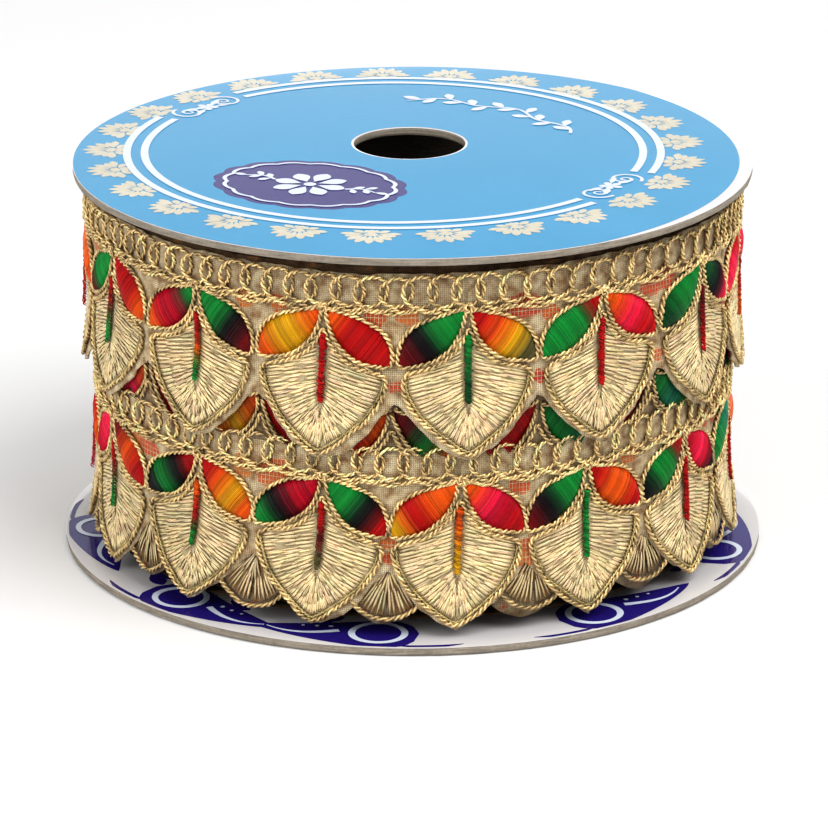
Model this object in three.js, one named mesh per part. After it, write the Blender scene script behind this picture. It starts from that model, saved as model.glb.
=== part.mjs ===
// Roll of gota lace trim, wound in two rows on a card reel. Millimetres, +Z up.
// The origin is the centre of the lower disc's underside. A turn is an angle in degrees that starts at
// the front (-Y) and grows towards the right (+X).
import * as THREE from "three";

// The card reel: two board discs glued to the ends of a board tube, their holes in line but off centre
const BOARD_THICKNESS = 1.5;
const UPPER_DISC_RADIUS = 65;
const LOWER_DISC_RADIUS = 67.8;
const SPINDLE_HOLE_RADIUS = 10.8;
const SPINDLE_HOLE_ASIDE = -0.6;
const SPINDLE_HOLE_BACK = 9.4;
const REEL_HEIGHT = 75.6;
const CORE_RADIUS = 39;
const CORE_WALL = 1.5;
const SEAT_GAP = 0.3;
const DISC_SIDES = 96;
const CORE_SIDES = 60;

// The trim as wound. Its pattern is one motif, repeated: a pair of leaves over a hanging petal.
const MOTIFS_PER_TURN = 15;
const COLUMNS_PER_TURN = 180;
const FIRST_COLUMN_TURN = 1.1;
const HEAD_ROOM = 1.1;
const TOP_EDGE_DEPTH = 1.6;
const BOTTOM_EDGE_DEPTH = 3.4;
const UPPER_LEDGE_DEPTH = 0.5;
const INNER_PETAL_BULGE = 0.4;
const INNER_PETAL_DEPTH = 0.9;
const LEAST_STEP = 0.2;

// Heights of a motif's parts, as drops below the junction where its two leaves meet
const RING_TOP_DROP = -6.8;
const RING_FOOT_DROP = -0.8;
const LEAF_START_DROP = 0.4;
const LEAF_END_DROP = 10.9;
const SHOULDER_DROP = 13;
const TIP_DROP = 28.8;
const INNER_PETAL_DROP = 27;
const INNER_PETAL_ROUNDING = 0.09;

// How far each part stands out from the ground cloth, and the share of a motif past which it sinks
// into the gap beside it
const CORD_HEIGHT = 1;
const RING_HOLLOW = 0.2;
const LEAF_HEIGHT = 1.4;
const STITCH_HEIGHT = 0.8;
const EDGE_HEIGHT = 0.5;
const GAP_STARTS = 0.84;
const GAP_HEIGHT = 0.1;

// The two rows. A stray motif leaves the even spacing by its shift, and its tip swings aside by its lean.
const UPPER_ROW = {
  junctionHeight: 65.4,
  clothRadius: 61.9,
  flare: 1.5,
  frontTurn: 9.3,
  strays: [
    { motif: -3, shift: -0.4, lean: -2.7 },
    { motif: -2, shift: -0.7, lean: -0.3 },
    { motif: -1, shift: -0.2, lean: -1.0 },
    { motif: 1, shift: 0.6, lean: -0.6 },
    { motif: 2, shift: 1.9, lean: 1.0 },
  ],
};
const LOWER_ROW = {
  junctionHeight: 32,
  clothRadius: 60.6,
  flare: 2.2,
  frontTurn: 8.4,
  strays: [
    { motif: -3, shift: -4.9, lean: 3.7 },
    { motif: -2, shift: -1.0, lean: -1.8 },
    { motif: -1, shift: 0.1, lean: -1.9 },
    { motif: 0, shift: 0, lean: -1.2 },
    { motif: 1, shift: -0.6, lean: -0.3 },
  ],
};

// The lines that a row's skin follows from its rings down to its petals' edges. The zone is the stretch
// between two outlines, part is how far down that stretch the line lies, and raised is its height.
const MOTIF_LINES = [
  { zone: "rings", part: 0.03, raised: CORD_HEIGHT },
  { zone: "rings", part: 0.5, raised: RING_HOLLOW },
  { zone: "rings", part: 0.95, raised: CORD_HEIGHT },
  { zone: "cloth", part: 0.4, raised: 0 },
  { zone: "leaves", part: 0.06, raised: CORD_HEIGHT },
  { zone: "leaves", part: 0.5, raised: LEAF_HEIGHT },
  { zone: "leaves", part: 0.94, raised: CORD_HEIGHT },
  { zone: "petal", part: 0.35, raised: STITCH_HEIGHT },
  { zone: "petal", part: 0.92, raised: CORD_HEIGHT },
  { zone: "petal", part: 1, raised: EDGE_HEIGHT },
];

const PLAIN_MOTIF = { shift: 0, lean: 0 };
const MOTIF_PITCH = 360 / MOTIFS_PER_TURN;
const REEL_UNDERSIDE = REEL_HEIGHT - BOARD_THICKNESS;
const ROLL_BOTTOM = BOARD_THICKNESS + SEAT_GAP;
const ROLL_TOP = REEL_UNDERSIDE - HEAD_ROOM;

const between = (start, end, part) => start + (end - start) * part;

// A leaf's upper edge leaves the junction level and turns down at its outer end.
const leafTopDrop = (across) =>
  LEAF_START_DROP + (LEAF_END_DROP - LEAF_START_DROP) * (1 - Math.sqrt(1 - across ** 3.3));

// A leaf's lower edge, which the petal hangs from, falls steeply at first and ends nearly level.
const leafFootDrop = (across) =>
  LEAF_START_DROP + (LEAF_END_DROP - LEAF_START_DROP) * (1 - (1 - across) ** 3);

// A petal's cloth edge runs from its shoulders round to the point.
const petalEdgeDrop = (across) =>
  SHOULDER_DROP + (TIP_DROP - SHOULDER_DROP) * (1 - across ** 1.2) ** 0.6;

// The rounded petals of the turn beneath hang half a motif aside, in the gaps of the lower row.
const innerPetalDrop = (across) => {
  const aside = ((1 - across) * MOTIF_PITCH * THREE.MathUtils.DEG2RAD * LOWER_ROW.clothRadius) / 2;
  return INNER_PETAL_DROP - INNER_PETAL_ROUNDING * aside ** 2;
};

// The motifs of one row in order round the roll, from the one opposite the front.
function motifsOf(row) {
  const first = -Math.floor(MOTIFS_PER_TURN / 2);
  return Array.from({ length: MOTIFS_PER_TURN }, (_, place) => {
    const stray = row.strays.find((one) => one.motif === first + place) ?? PLAIN_MOTIF;
    return { turn: row.frontTurn + (first + place) * MOTIF_PITCH + stray.shift, lean: stray.lean };
  });
}

// The share of the way, from 0 at a motif's middle to 1 at the gap beside it, at which a turn lies.
function acrossMotif(motifs, turn, drop) {
  const swing = Math.max(drop, 0) / TIP_DROP;
  const aside = motifs.map((motif) => {
    const apart = turn - motif.turn - motif.lean * swing;
    return Math.abs(THREE.MathUtils.euclideanModulo(apart + 180, 360) - 180);
  });
  const [nearest, next] = aside.sort((a, b) => a - b);
  return Math.min((2 * nearest) / (nearest + next), 1);
}

// A row's skin at one turn, from the rings' top to the petal's edge, as heights and radii.
function rowLines(row, motifs, turn, isRingMiddle) {
  const across = (drop) => acrossMotif(motifs, turn, drop);
  const outlines = {
    rings: [RING_TOP_DROP, RING_FOOT_DROP],
    cloth: [RING_FOOT_DROP, leafTopDrop(across(0))],
    leaves: [leafTopDrop(across(0)), leafFootDrop(across(LEAF_END_DROP / 2))],
    petal: [leafFootDrop(across(LEAF_END_DROP / 2)), petalEdgeDrop(across(SHOULDER_DROP + LEAF_END_DROP))],
  };
  return MOTIF_LINES.map(({ zone, part, raised }) => {
    const drop = between(...outlines[zone], part);
    const isMotif = zone === "leaves" || zone === "petal";
    let height = raised;
    if (zone === "rings" && !isRingMiddle) height = CORD_HEIGHT;
    if (isMotif && across(drop) > GAP_STARTS) height = GAP_HEIGHT;
    const flareShare = (Math.max(drop, 0) / TIP_DROP) ** 2;
    return { z: row.junctionHeight - drop, radius: row.clothRadius + height + row.flare * flareShare };
  });
}

// One column of the roll's outside, from its top edge to its bottom edge.
function skinColumn(turn, isRingMiddle, upperMotifs, lowerMotifs) {
  const upper = rowLines(UPPER_ROW, upperMotifs, turn, isRingMiddle);
  const lower = rowLines(LOWER_ROW, lowerMotifs, turn, isRingMiddle);
  const underUpperEdge = upper.at(-1).z - LEAST_STEP;
  const underLowerEdge = lower.at(-1).z - LEAST_STEP;
  const lowerRingTop = LOWER_ROW.junctionHeight - RING_TOP_DROP;
  const innerEdge = LOWER_ROW.junctionHeight - innerPetalDrop(acrossMotif(lowerMotifs, turn, TIP_DROP));
  const innerRadius = LOWER_ROW.clothRadius + EDGE_HEIGHT;
  return stepDown([
    { z: ROLL_TOP, radius: UPPER_ROW.clothRadius - TOP_EDGE_DEPTH },
    ...upper,
    { z: underUpperEdge, radius: UPPER_ROW.clothRadius - UPPER_LEDGE_DEPTH },
    { z: lowerRingTop + CORD_HEIGHT, radius: LOWER_ROW.clothRadius },
    ...lower,
    { z: underLowerEdge, radius: innerRadius + INNER_PETAL_BULGE },
    { z: innerEdge, radius: innerRadius },
    { z: innerEdge - LEAST_STEP, radius: innerRadius - INNER_PETAL_DEPTH },
    { z: ROLL_BOTTOM, radius: LOWER_ROW.clothRadius - BOTTOM_EDGE_DEPTH },
  ]);
}

// Each line keeps a least step below the one above it, and room for the lines that follow it.
function stepDown(column) {
  let ceiling = column[0].z;
  return column.map((line, place) => {
    const floor = ROLL_BOTTOM + (column.length - 1 - place) * LEAST_STEP;
    const z = Math.max(Math.min(line.z, ceiling), floor);
    ceiling = z - LEAST_STEP;
    return { z, radius: line.radius };
  });
}

// A closed skin over a grid of points that joins up both down its columns and round its turn.
function closedSkin(columns) {
  const points = columns.flat();
  const lines = columns[0].length;
  const at = (column, line) => (column % columns.length) * lines + (line % lines);
  const triangles = [];
  for (let column = 0; column < columns.length; column += 1) {
    for (let line = 0; line < lines; line += 1) {
      const here = at(column, line);
      const below = at(column, line + 1);
      const beside = at(column + 1, line);
      const across = at(column + 1, line + 1);
      const isShorter = points[here].distanceTo(points[across]) < points[below].distanceTo(points[beside]);
      if (isShorter) triangles.push(here, below, across, here, across, beside);
      else triangles.push(here, below, beside, below, across, beside);
    }
  }
  const geometry = new THREE.BufferGeometry().setFromPoints(points);
  geometry.setIndex(triangles);
  geometry.computeVertexNormals();
  return geometry;
}

function woundTrim() {
  const upperMotifs = motifsOf(UPPER_ROW);
  const lowerMotifs = motifsOf(LOWER_ROW);
  const bore = CORE_RADIUS + SEAT_GAP;
  const columns = Array.from({ length: COLUMNS_PER_TURN }, (_, place) => {
    const turn = FIRST_COLUMN_TURN + (360 * place) / COLUMNS_PER_TURN;
    const skin = skinColumn(turn, place % 2 === 0, upperMotifs, lowerMotifs);
    const section = [...skin, { z: ROLL_BOTTOM, radius: bore }, { z: ROLL_TOP, radius: bore }];
    const angle = THREE.MathUtils.degToRad(turn);
    return section.map(
      ({ z, radius }) => new THREE.Vector3(radius * Math.sin(angle), -radius * Math.cos(angle), z),
    );
  });
  return closedSkin(columns);
}

// A round board disc on its own underside, with the spindle hole punched behind its centre.
function disc(radius) {
  const outline = new THREE.Shape().absarc(0, 0, radius, 0, 2 * Math.PI);
  const punched = new THREE.Path();
  punched.absarc(SPINDLE_HOLE_ASIDE, SPINDLE_HOLE_BACK, SPINDLE_HOLE_RADIUS, 0, 2 * Math.PI, true);
  outline.holes.push(punched);
  return new THREE.ExtrudeGeometry(outline, {
    depth: BOARD_THICKNESS,
    bevelEnabled: false,
    curveSegments: DISC_SIDES / 2,
  });
}

// A board tube standing on its own lower end.
function tube(innerRadius, outerRadius, height) {
  const section = [
    { radius: innerRadius, z: 0 },
    { radius: outerRadius, z: 0 },
    { radius: outerRadius, z: height },
    { radius: innerRadius, z: height },
    { radius: innerRadius, z: 0 },
  ];
  const profile = section.map(({ radius, z }) => new THREE.Vector2(radius, z));
  return new THREE.LatheGeometry(profile, CORE_SIDES).rotateX(Math.PI / 2);
}

function named(name, geometry, material, height = 0) {
  const mesh = new THREE.Mesh(geometry, new THREE.MeshStandardMaterial(material));
  mesh.name = name;
  mesh.position.z = height;
  return mesh;
}

const printedBlue = { color: 0x67bce8, roughness: 0.3, metalness: 0 };
const printedWhite = { color: 0xe9e7ea, roughness: 0.3, metalness: 0 };
const greyBoard = { color: 0xa99b86, roughness: 0.85, metalness: 0 };
const goldThread = { color: 0xc2a265, roughness: 0.5, metalness: 0.4 };

const coreHeight = REEL_UNDERSIDE - BOARD_THICKNESS - 2 * SEAT_GAP;
const core = tube(CORE_RADIUS - CORE_WALL, CORE_RADIUS, coreHeight);

const roll = new THREE.Group();
roll.add(
  named("lower_flange", disc(LOWER_DISC_RADIUS), printedWhite),
  named("upper_flange", disc(UPPER_DISC_RADIUS), printedBlue, REEL_UNDERSIDE),
  named("core_tube", core, greyBoard, BOARD_THICKNESS + SEAT_GAP),
  named("wound_trim", woundTrim(), goldThread),
);

export default roll;
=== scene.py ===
"""Roll of gota lace trim on a printed card reel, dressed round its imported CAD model.

The trim is drawn flat, in millimetres along, down and out from the cloth, and every thread of it
is then wound onto the reel. A turn is an angle that starts at the front and grows to the right.
"""

import math

import bpy
import numpy as np
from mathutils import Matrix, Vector


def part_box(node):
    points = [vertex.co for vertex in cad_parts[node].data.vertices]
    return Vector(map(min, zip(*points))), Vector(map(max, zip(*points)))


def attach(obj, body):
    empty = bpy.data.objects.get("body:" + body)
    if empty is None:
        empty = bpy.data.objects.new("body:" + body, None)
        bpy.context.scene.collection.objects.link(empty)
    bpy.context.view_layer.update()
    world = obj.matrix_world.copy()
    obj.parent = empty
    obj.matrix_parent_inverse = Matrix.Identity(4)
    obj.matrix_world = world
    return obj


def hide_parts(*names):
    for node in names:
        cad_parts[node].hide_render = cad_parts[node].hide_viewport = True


bl_info = {
    "name": "Gota lace roll",
    "version": (1, 0, 0),
    "blender": (4, 5, 0),
    "location": "View3D > Sidebar > Gota lace",
    "description": "Winds embroidered lace trim in two rows on a printed card reel",
    "category": "Add Mesh",
}

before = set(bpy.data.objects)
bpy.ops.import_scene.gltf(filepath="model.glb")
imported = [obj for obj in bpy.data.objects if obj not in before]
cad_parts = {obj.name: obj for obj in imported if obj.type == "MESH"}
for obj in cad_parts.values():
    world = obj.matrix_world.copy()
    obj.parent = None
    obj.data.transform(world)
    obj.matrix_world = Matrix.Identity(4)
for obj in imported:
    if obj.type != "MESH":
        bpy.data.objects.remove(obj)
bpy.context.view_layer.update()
MM = 0.001

# The card reel, from its CAD nodes. Both spindle holes are punched a little behind the centre.
LOWER_DISC_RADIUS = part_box("lower_flange")[1].x / MM
UPPER_DISC_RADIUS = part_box("upper_flange")[1].x / MM
LOWER_DISC_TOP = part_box("lower_flange")[1].z / MM
UPPER_DISC_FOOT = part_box("upper_flange")[0].z / MM
REEL_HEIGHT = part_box("upper_flange")[1].z / MM
CORE_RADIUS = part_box("core_tube")[1].x / MM
HOLE_RADIUS = 10.8
HOLE_CENTRE = np.array([-0.6, 9.4])
PAPER_THICKNESS = 0.07
PRINT_LIFT = 0.03

# One motif of the trim: two leaves over a hanging petal. Drops are measured from where the leaves meet.
MOTIFS = 15
MOTIF_DEGREES = 360 / MOTIFS
TIP_DROP = 28.8
CLOTH_TOP = -6.5
RINGS_PER_MOTIF = 6
RING_MIDDLE_DROP = -3.3
RING_HALF_SIZE = (2.88, 2.85)
LEAF_OUTLINE = [
    (0.45, -0.2), (1.5, 0.5), (4.0, 1.1), (7.5, 2.1), (10.4, 3.95), (12.05, 6.5), (12.55, 8.9), (12.4, 10.5),
    (11.7, 11.05), (10.0, 10.9), (6.3, 9.95), (3.5, 7.95), (1.7, 5.4), (0.8, 2.9), (0.5, 0.9),
]
PETAL_HALF = [
    (0.0, 4.3), (1.1, 6.5), (2.9, 8.95), (5.9, 11.0), (9.0, 11.9), (10.7, 12.35), (11.6, 13.4), (11.5, 15.2),
    (10.9, 17.1), (9.8, 19.3), (8.2, 21.6), (6.0, 23.8), (4.0, 25.5), (1.9, 27.1), (0.0, 27.9),
]
CLOTH_EDGE = [(0.0, 29.0), (1.6, 28.5), (4.2, 26.8), (6.6, 24.7), (8.8, 22.4), (10.3, 20.3), (11.6, 18.8), (13.2, 18.1)]
LEAF_AXIS = ((0.9, 0.9), (12.3, 10.3))
STEM_DROPS = (5.4, 18.2)
STEM_HALF_WIDTH = 0.72
FAN_DROPS = (5.2, 21.0)
SHOULDER_DROP = 12.1

# The petal that shows in each gap of the lower row, and the leaves that show in each gap of the upper one
INNER_PETAL_HALF = [(0.0, 27.0), (2.2, 26.6), (4.2, 25.5), (6.1, 23.7), (7.6, 21.2), (8.3, 18.5)]
INNER_PETAL_TOP = 15.0
# The gap petals' padding is dark brown, partly the cloth's own colour and partly painted shade between the strands
GAP_PADDING = (0.2, 0.13, 0.06)
GAP_SPACING = 0.68
INNER_LEAF_DROP = 19.2
INNER_LEAF_SHOWN = 8.6
INNER_CLOTH_TOP = 10
INNER_CLOTH_THICKNESS = 0.32
TUCK_DEPTH = 1.35


class Row:
    """One row of the wound trim.

    The junction is the height at which leaves meet, the flare is how far the tips lean out, and the front is the
    turn of motif 0. Each stray is a motif's shift and its tip's lean. Turns are in degrees.
    """

    def __init__(self, name, junction, radius, flare, front, strays):
        self.name = name
        self.junction = junction
        self.radius = radius
        self.flare = flare
        self.front = front
        self.pitch = radius * math.radians(MOTIF_DEGREES)
        numbers = range(-(MOTIFS // 2), MOTIFS // 2 + 1)
        self.strays = np.array([strays.get(number, (0.0, 0.0)) for number in numbers])


ROWS = {
    "upper": Row(
        "upper", junction=65.4, radius=61.9, flare=1.5, front=9.3,
        strays={-3: (-0.4, -2.7), -2: (-0.7, -0.3), -1: (-0.2, -1.0), 1: (0.6, -0.6), 2: (1.9, 1.0), 3: (-0.3, 0.8)},
    ),
    "lower": Row(
        "lower", junction=32.0, radius=60.6, flare=2.2, front=8.4,
        strays={-3: (-4.9, 3.7), -2: (-1.0, -1.8), -1: (0.1, -1.9), 0: (0.0, -1.2), 1: (-0.6, -0.3), 2: (0.1, 0.7)},
    ),
}

DYES = {
    "crimson": (0.66, 0.02, 0.14),
    "red": (0.66, 0.03, 0.04),
    "dark_red": (0.42, 0.02, 0.05),
    "orange": (0.82, 0.33, 0.04),
    "amber": (0.8, 0.6, 0.06),
    "green": (0.06, 0.5, 0.2),
    "dark_green": (0.03, 0.27, 0.12),
    "black": (0.06, 0.03, 0.05),
    "pink": (0.86, 0.12, 0.28),
    "salmon": (0.88, 0.44, 0.28),
    "olive": (0.33, 0.31, 0.18),
    "teal": (0.13, 0.48, 0.38),
}

# The dyes of each motif's left leaf and right leaf, from where they meet outwards, and of its stem downwards
THREAD_DYES = {
    "upper": {
        -4: ("salmon orange", "salmon orange", "orange red"),
        -3: ("green green dark_red", "red red orange", "red green"),
        -2: ("green crimson crimson orange", "green green black dark_red", "red orange green"),
        -1: ("orange amber amber orange", "orange red red red", "red red"),
        0: ("green green black dark_red", "red orange amber olive", "green dark_green"),
        1: ("red green green green", "orange pink red", "red red"),
        2: ("green green dark_green", "dark_green black pink", "dark_red red"),
        3: ("red pink pink", "pink red", "red orange"),
    },
    "lower": {
        -4: ("orange red", "red orange", "red"),
        -3: ("pink crimson", "dark_red orange red", "red green"),
        -2: ("red black green black", "red orange amber orange", "orange red green"),
        -1: ("crimson crimson black green", "green green black red", "red dark_red olive"),
        0: ("orange orange red amber", "orange pink crimson red", "orange amber"),
        1: ("green green black dark_red", "red orange orange red", "green green"),
        2: ("red green green black", "crimson pink crimson black", "red"),
        3: ("teal green", "salmon orange", "red"),
    },
}
GAP_DYES = {
    -2: ("orange amber orange", "red dark_red"), -1: ("orange red", "dark_red green orange"),
    0: ("red red red", "green green teal"), 1: ("dark_red red red", "green teal green"),
}
SPARE_DYES = [
    "green green black dark_red", "red orange amber orange", "orange pink red", "crimson crimson black green",
    "amber orange red", "green dark_green black", "red red crimson",
]


# ---------------------------------------------------------------- settings


class ReelSettings(bpy.types.PropertyGroup):
    """Finish of the card reel."""

    ground: bpy.props.FloatVectorProperty(
        name="Upper print", description="Ground colour of the upper disc's print", subtype="COLOR",
        default=(0.018, 0.27, 0.505), min=0, max=1,
    )
    cream: bpy.props.FloatVectorProperty(
        name="Flowers", description="Colour of the printed flower border", subtype="COLOR",
        default=(0.56, 0.52, 0.41), min=0, max=1,
    )
    navy: bpy.props.FloatVectorProperty(
        name="Navy", description="Dark ink of both discs", subtype="COLOR", default=(0.022, 0.012, 0.16), min=0, max=1
    )
    paper: bpy.props.FloatVectorProperty(
        name="Paper", description="Unprinted paper", subtype="COLOR", default=(0.68, 0.66, 0.66), min=0, max=1
    )
    board: bpy.props.FloatVectorProperty(
        name="Board", description="Cut edge of the board", subtype="COLOR", default=(0.25, 0.215, 0.17), min=0, max=1
    )
    ring_width: bpy.props.FloatProperty(
        name="Ring width", description="Width of the two printed rings", default=1.5 * MM, min=0, unit="LENGTH"
    )


class TrimSettings(bpy.types.PropertyGroup):
    """Threads of the trim."""

    cord_width: bpy.props.FloatProperty(
        name="Cord width", description="Width of the twisted outline cord", default=0.94 * MM, min=0, unit="LENGTH"
    )
    cord_lay: bpy.props.FloatProperty(
        name="Cord lay", description="Length of one full twist of the cord", default=2.5 * MM, min=0, unit="LENGTH"
    )
    satin_pitch: bpy.props.FloatProperty(
        name="Satin pitch", description="Spacing of the leaves' satin threads", default=0.27 * MM, min=0, unit="LENGTH"
    )
    stitch_pitch: bpy.props.FloatProperty(
        name="Stitch pitch", description="Spacing of the petals' metallic strands", default=0.37 * MM, min=0,
        unit="LENGTH",
    )
    weave_pitch: bpy.props.FloatProperty(
        name="Weave pitch", description="Spacing of the ground cloth's threads", default=0.36 * MM, min=0,
        unit="LENGTH",
    )
    cloth_thickness: bpy.props.FloatProperty(
        name="Cloth thickness", description="Thickness of the ground cloth", default=0.34 * MM, min=0, unit="LENGTH"
    )
    gold: bpy.props.FloatVectorProperty(
        name="Cord", description="Crests of the twisted gold cord", subtype="COLOR", default=(0.77, 0.575, 0.28),
        min=0, max=1,
    )
    # The cord's grooves between its plies are painted this darker colour as shade
    gold_groove_shade: bpy.props.FloatVectorProperty(
        name="Cord grooves", description="Grooves of the twisted gold cord", subtype="COLOR",
        default=(0.23, 0.12, 0.028), min=0, max=1,
    )
    zari: bpy.props.FloatVectorProperty(
        name="Stitches", description="Pale metallic stitches", subtype="COLOR", default=(0.8, 0.635, 0.36), min=0,
        max=1,
    )
    ochre: bpy.props.FloatVectorProperty(
        name="Inner cord", description="Thin cord inside each petal's border", subtype="COLOR",
        default=(0.42, 0.33, 0.14), min=0, max=1,
    )
    cloth: bpy.props.FloatVectorProperty(
        name="Cloth", description="Open-weave ground cloth", subtype="COLOR", default=(0.42, 0.31, 0.165), min=0, max=1
    )


class StageSettings(bpy.types.PropertyGroup):
    """Camera and lights of the photograph."""

    camera_place: bpy.props.FloatVectorProperty(
        name="Camera place", description="Camera position", subtype="TRANSLATION", default=(0.00027, -0.94613, 0.35312)
    )
    camera_tilt: bpy.props.FloatProperty(
        name="Camera tilt", description="Camera's turn up from looking straight down", subtype="ANGLE",
        default=math.radians(70.79),
    )
    lens: bpy.props.FloatProperty(
        name="Lens", description="Focal length on a 36 mm sensor, in millimetres", default=223.66, min=1
    )
    floor: bpy.props.FloatVectorProperty(
        name="Floor", description="Pale floor", subtype="COLOR", default=(0.72, 0.72, 0.72), min=0, max=1
    )
    floor_glow: bpy.props.FloatProperty(
        name="Floor glow", description="Evens the floor out to white", default=0.05, min=0
    )
    key_watts: bpy.props.FloatProperty(name="Key light", description="Power of the key light", default=14.5, min=0)
    fill_watts: bpy.props.FloatProperty(name="Fill light", description="Power of the fill light", default=9, min=0)
    backdrop_watts: bpy.props.FloatProperty(
        name="Backdrop", description="Power of the bright backdrop", default=5.5, min=0
    )
    sky: bpy.props.FloatProperty(name="Sky", description="Strength of the even light", default=0.36, min=0)


def reel():
    return bpy.context.scene.lace_reel


def trim():
    return bpy.context.scene.lace_trim


# ---------------------------------------------------------------- flat shapes and winding


def eased(row, place, column):
    """A stray value at a place along the row, in motifs, held over each motif and eased between them."""
    below = np.floor(place)
    share = np.clip((place - below - 0.2) / 0.6, 0, 1)
    share = share**2 * (3 - 2 * share)
    first = row.strays[(below.astype(int) + MOTIFS // 2) % MOTIFS, column]
    second = row.strays[(below.astype(int) + 1 + MOTIFS // 2) % MOTIFS, column]
    return first + (second - first) * share


def wind(row, flat):
    """Points of the flat trim as they lie on the roll, in metres."""
    along, drop, out = np.asarray(flat, float).T
    place = along / row.pitch
    hang = np.clip(drop, 0, None) / TIP_DROP
    turn = row.front + MOTIF_DEGREES * place + eased(row, place, 0) + eased(row, place, 1) * hang
    angle = np.radians(turn)
    slack = 0.16 * np.sin(5 * angle + 1.1) + 0.12 * np.sin(13 * angle + drop * 0.2 + 0.4)
    sway = 0.18 * np.sin(4 * angle + row.radius) + 0.1 * np.sin(11 * angle)
    radius = row.radius + out + row.flare * hang**2 + slack
    points = [radius * np.sin(angle), -radius * np.cos(angle), row.junction - drop + sway]
    return np.stack(points, 1) * MM


def spline(points, step, closed=False):
    """A smooth line through points, cut into even steps."""
    points = np.asarray(points, float)
    ends = (points[-1:], points[:2]) if closed else (2 * points[:1] - points[1:2], 2 * points[-1:] - points[-2:-1])
    knots = np.concatenate([ends[0], points, ends[1]])
    share = np.linspace(0, 1, 12, endpoint=False)[:, None]
    spans = []
    for before, start, end, after in zip(knots, knots[1:], knots[2:], knots[3:]):
        bend = 2 * start + (end - before) * share + (2 * before - 5 * start + 4 * end - after) * share**2
        spans.append(0.5 * (bend + (3 * start - before - 3 * end + after) * share**3))
    line = np.concatenate(spans + [points[:1] if closed else points[-1:]])
    length = np.concatenate([[0], np.cumsum(np.linalg.norm(np.diff(line, axis=0), axis=1))])
    count = max(int(round(length[-1] / step)), 3)
    wanted = np.linspace(0, length[-1], count + 1)
    evened = np.stack([np.interp(wanted, length, line[:, axis]) for axis in range(line.shape[1])], 1)
    return evened[:-1] if closed else evened


def wobbled(line, amount, chance, spacing=9):
    """The line with a hand's small unevenness, in its first two axes. Its spacing counts points."""
    count = max(len(line) // spacing, 2)
    knots = chance.normal(0, amount, (count + 1, 2))
    knots[-1] = knots[0]
    place = np.linspace(0, count, len(line))
    line = line.copy()
    for axis in range(2):
        line[:, axis] += np.interp(place, np.arange(count + 1), knots[:, axis])
    return line


def raised(flat, height):
    """Flat points raised off their plane, by one height for all or by a height each."""
    return np.column_stack([flat, np.broadcast_to(height, len(flat))])


def mirrored(half):
    """A closed outline from its right half."""
    half = np.asarray(half, float)
    return np.concatenate([half, (half * [-1, 1])[-2:0:-1]])


# Cloth to spare beside some petals, and how much closer the lower row's cloth is cut
SPARE_CLOTH = 1.5
LOWER_ROW_CUT = 0.8


def petal_edge(along, row):
    """Drop of the cloth's cut edge at a place along the row. Some petals have cloth to spare on one side."""
    motif = np.round(along / row.pitch)
    aside = along - motif * row.pitch
    spare = SPARE_CLOTH * np.clip(np.sin(motif * 2.6 + np.sign(aside) * 1.1 + row.radius * 5 + 0.9), 0, 1)
    spare *= np.sin(np.pi * np.clip((np.abs(aside) - 1.5) / 10.5, 0, 1))
    if row.name == "lower":
        spare -= LOWER_ROW_CUT * np.clip(np.abs(aside) / 3, 0, 1)
    return np.interp(np.abs(aside), *np.array(CLOTH_EDGE).T) + spare


def linear(colour):
    """Linear values of a colour given as it looks on screen."""
    colour = np.asarray(colour, float)
    return np.where(colour <= 0.04045, colour / 12.92, ((colour + 0.055) / 1.055) ** 2.4)


def dye_along(names, share):
    """Colours of a variegated thread at shares of its run."""
    table = np.array([DYES[name] for name in names.split()])
    places = (np.arange(len(table)) + 0.5) / len(table)
    return np.stack([np.interp(share, places, table[:, axis]) for axis in range(3)], 1)


# ---------------------------------------------------------------- meshes


class Skein:
    """Gathers the points, faces and colours of one piece."""

    def __init__(self):
        self.points, self.quads, self.triangles, self.colours, self.places = [], [], [], [], []
        self.count = 0

    def add(self, points, quads=(), triangles=(), colours=None, places=None):
        points = np.asarray(points, float)
        for faces, kept, corners in ((quads, self.quads, 4), (triangles, self.triangles, 3)):
            if len(faces):
                kept.append(np.asarray(faces, int).reshape(-1, corners) + self.count)
        self.points.append(points)
        if colours is not None:
            self.colours.append(np.broadcast_to(colours, points.shape))
        if places is not None:
            self.places.append(places)
        self.count += len(points)

    def piece(self, name, material, slot, *replaced):
        """Makes the piece, which rides on the reel."""
        mesh = bpy.data.meshes.new(name)
        corners = [faces.ravel() for faces in self.quads + self.triangles]
        sizes = [np.full(len(faces), faces.shape[1]) for faces in self.quads + self.triangles]
        corners, sizes = np.concatenate(corners), np.concatenate(sizes)
        mesh.vertices.add(self.count)
        mesh.vertices.foreach_set("co", np.concatenate(self.points).ravel())
        mesh.loops.add(len(corners))
        mesh.loops.foreach_set("vertex_index", corners)
        mesh.polygons.add(len(sizes))
        mesh.polygons.foreach_set("loop_start", np.concatenate([[0], np.cumsum(sizes)[:-1]]))
        mesh.polygons.foreach_set("use_smooth", np.ones(len(sizes), bool))
        mesh.update(calc_edges=True)
        if self.colours:
            colours = np.concatenate(self.colours)
            painted = mesh.attributes.new("thread_colour", "FLOAT_COLOR", "POINT")
            painted.data.foreach_set("color", np.column_stack([colours, np.ones(len(colours))]).ravel())
        if self.places:
            flat = mesh.attributes.new("flat_place", "FLOAT_VECTOR", "POINT")
            flat.data.foreach_set("vector", np.concatenate(self.places).ravel())
        return finished(bpy.data.objects.new(name, mesh), material, slot, *replaced)


def finished(thing, material, slot, *replaced):
    """Puts a piece in the scene, on the reel and in its finish."""
    bpy.context.scene.collection.objects.link(thing)
    thing.data.materials.append(material)
    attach(thing, "root")
    if replaced:
        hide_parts(*replaced)
    return thing


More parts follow.
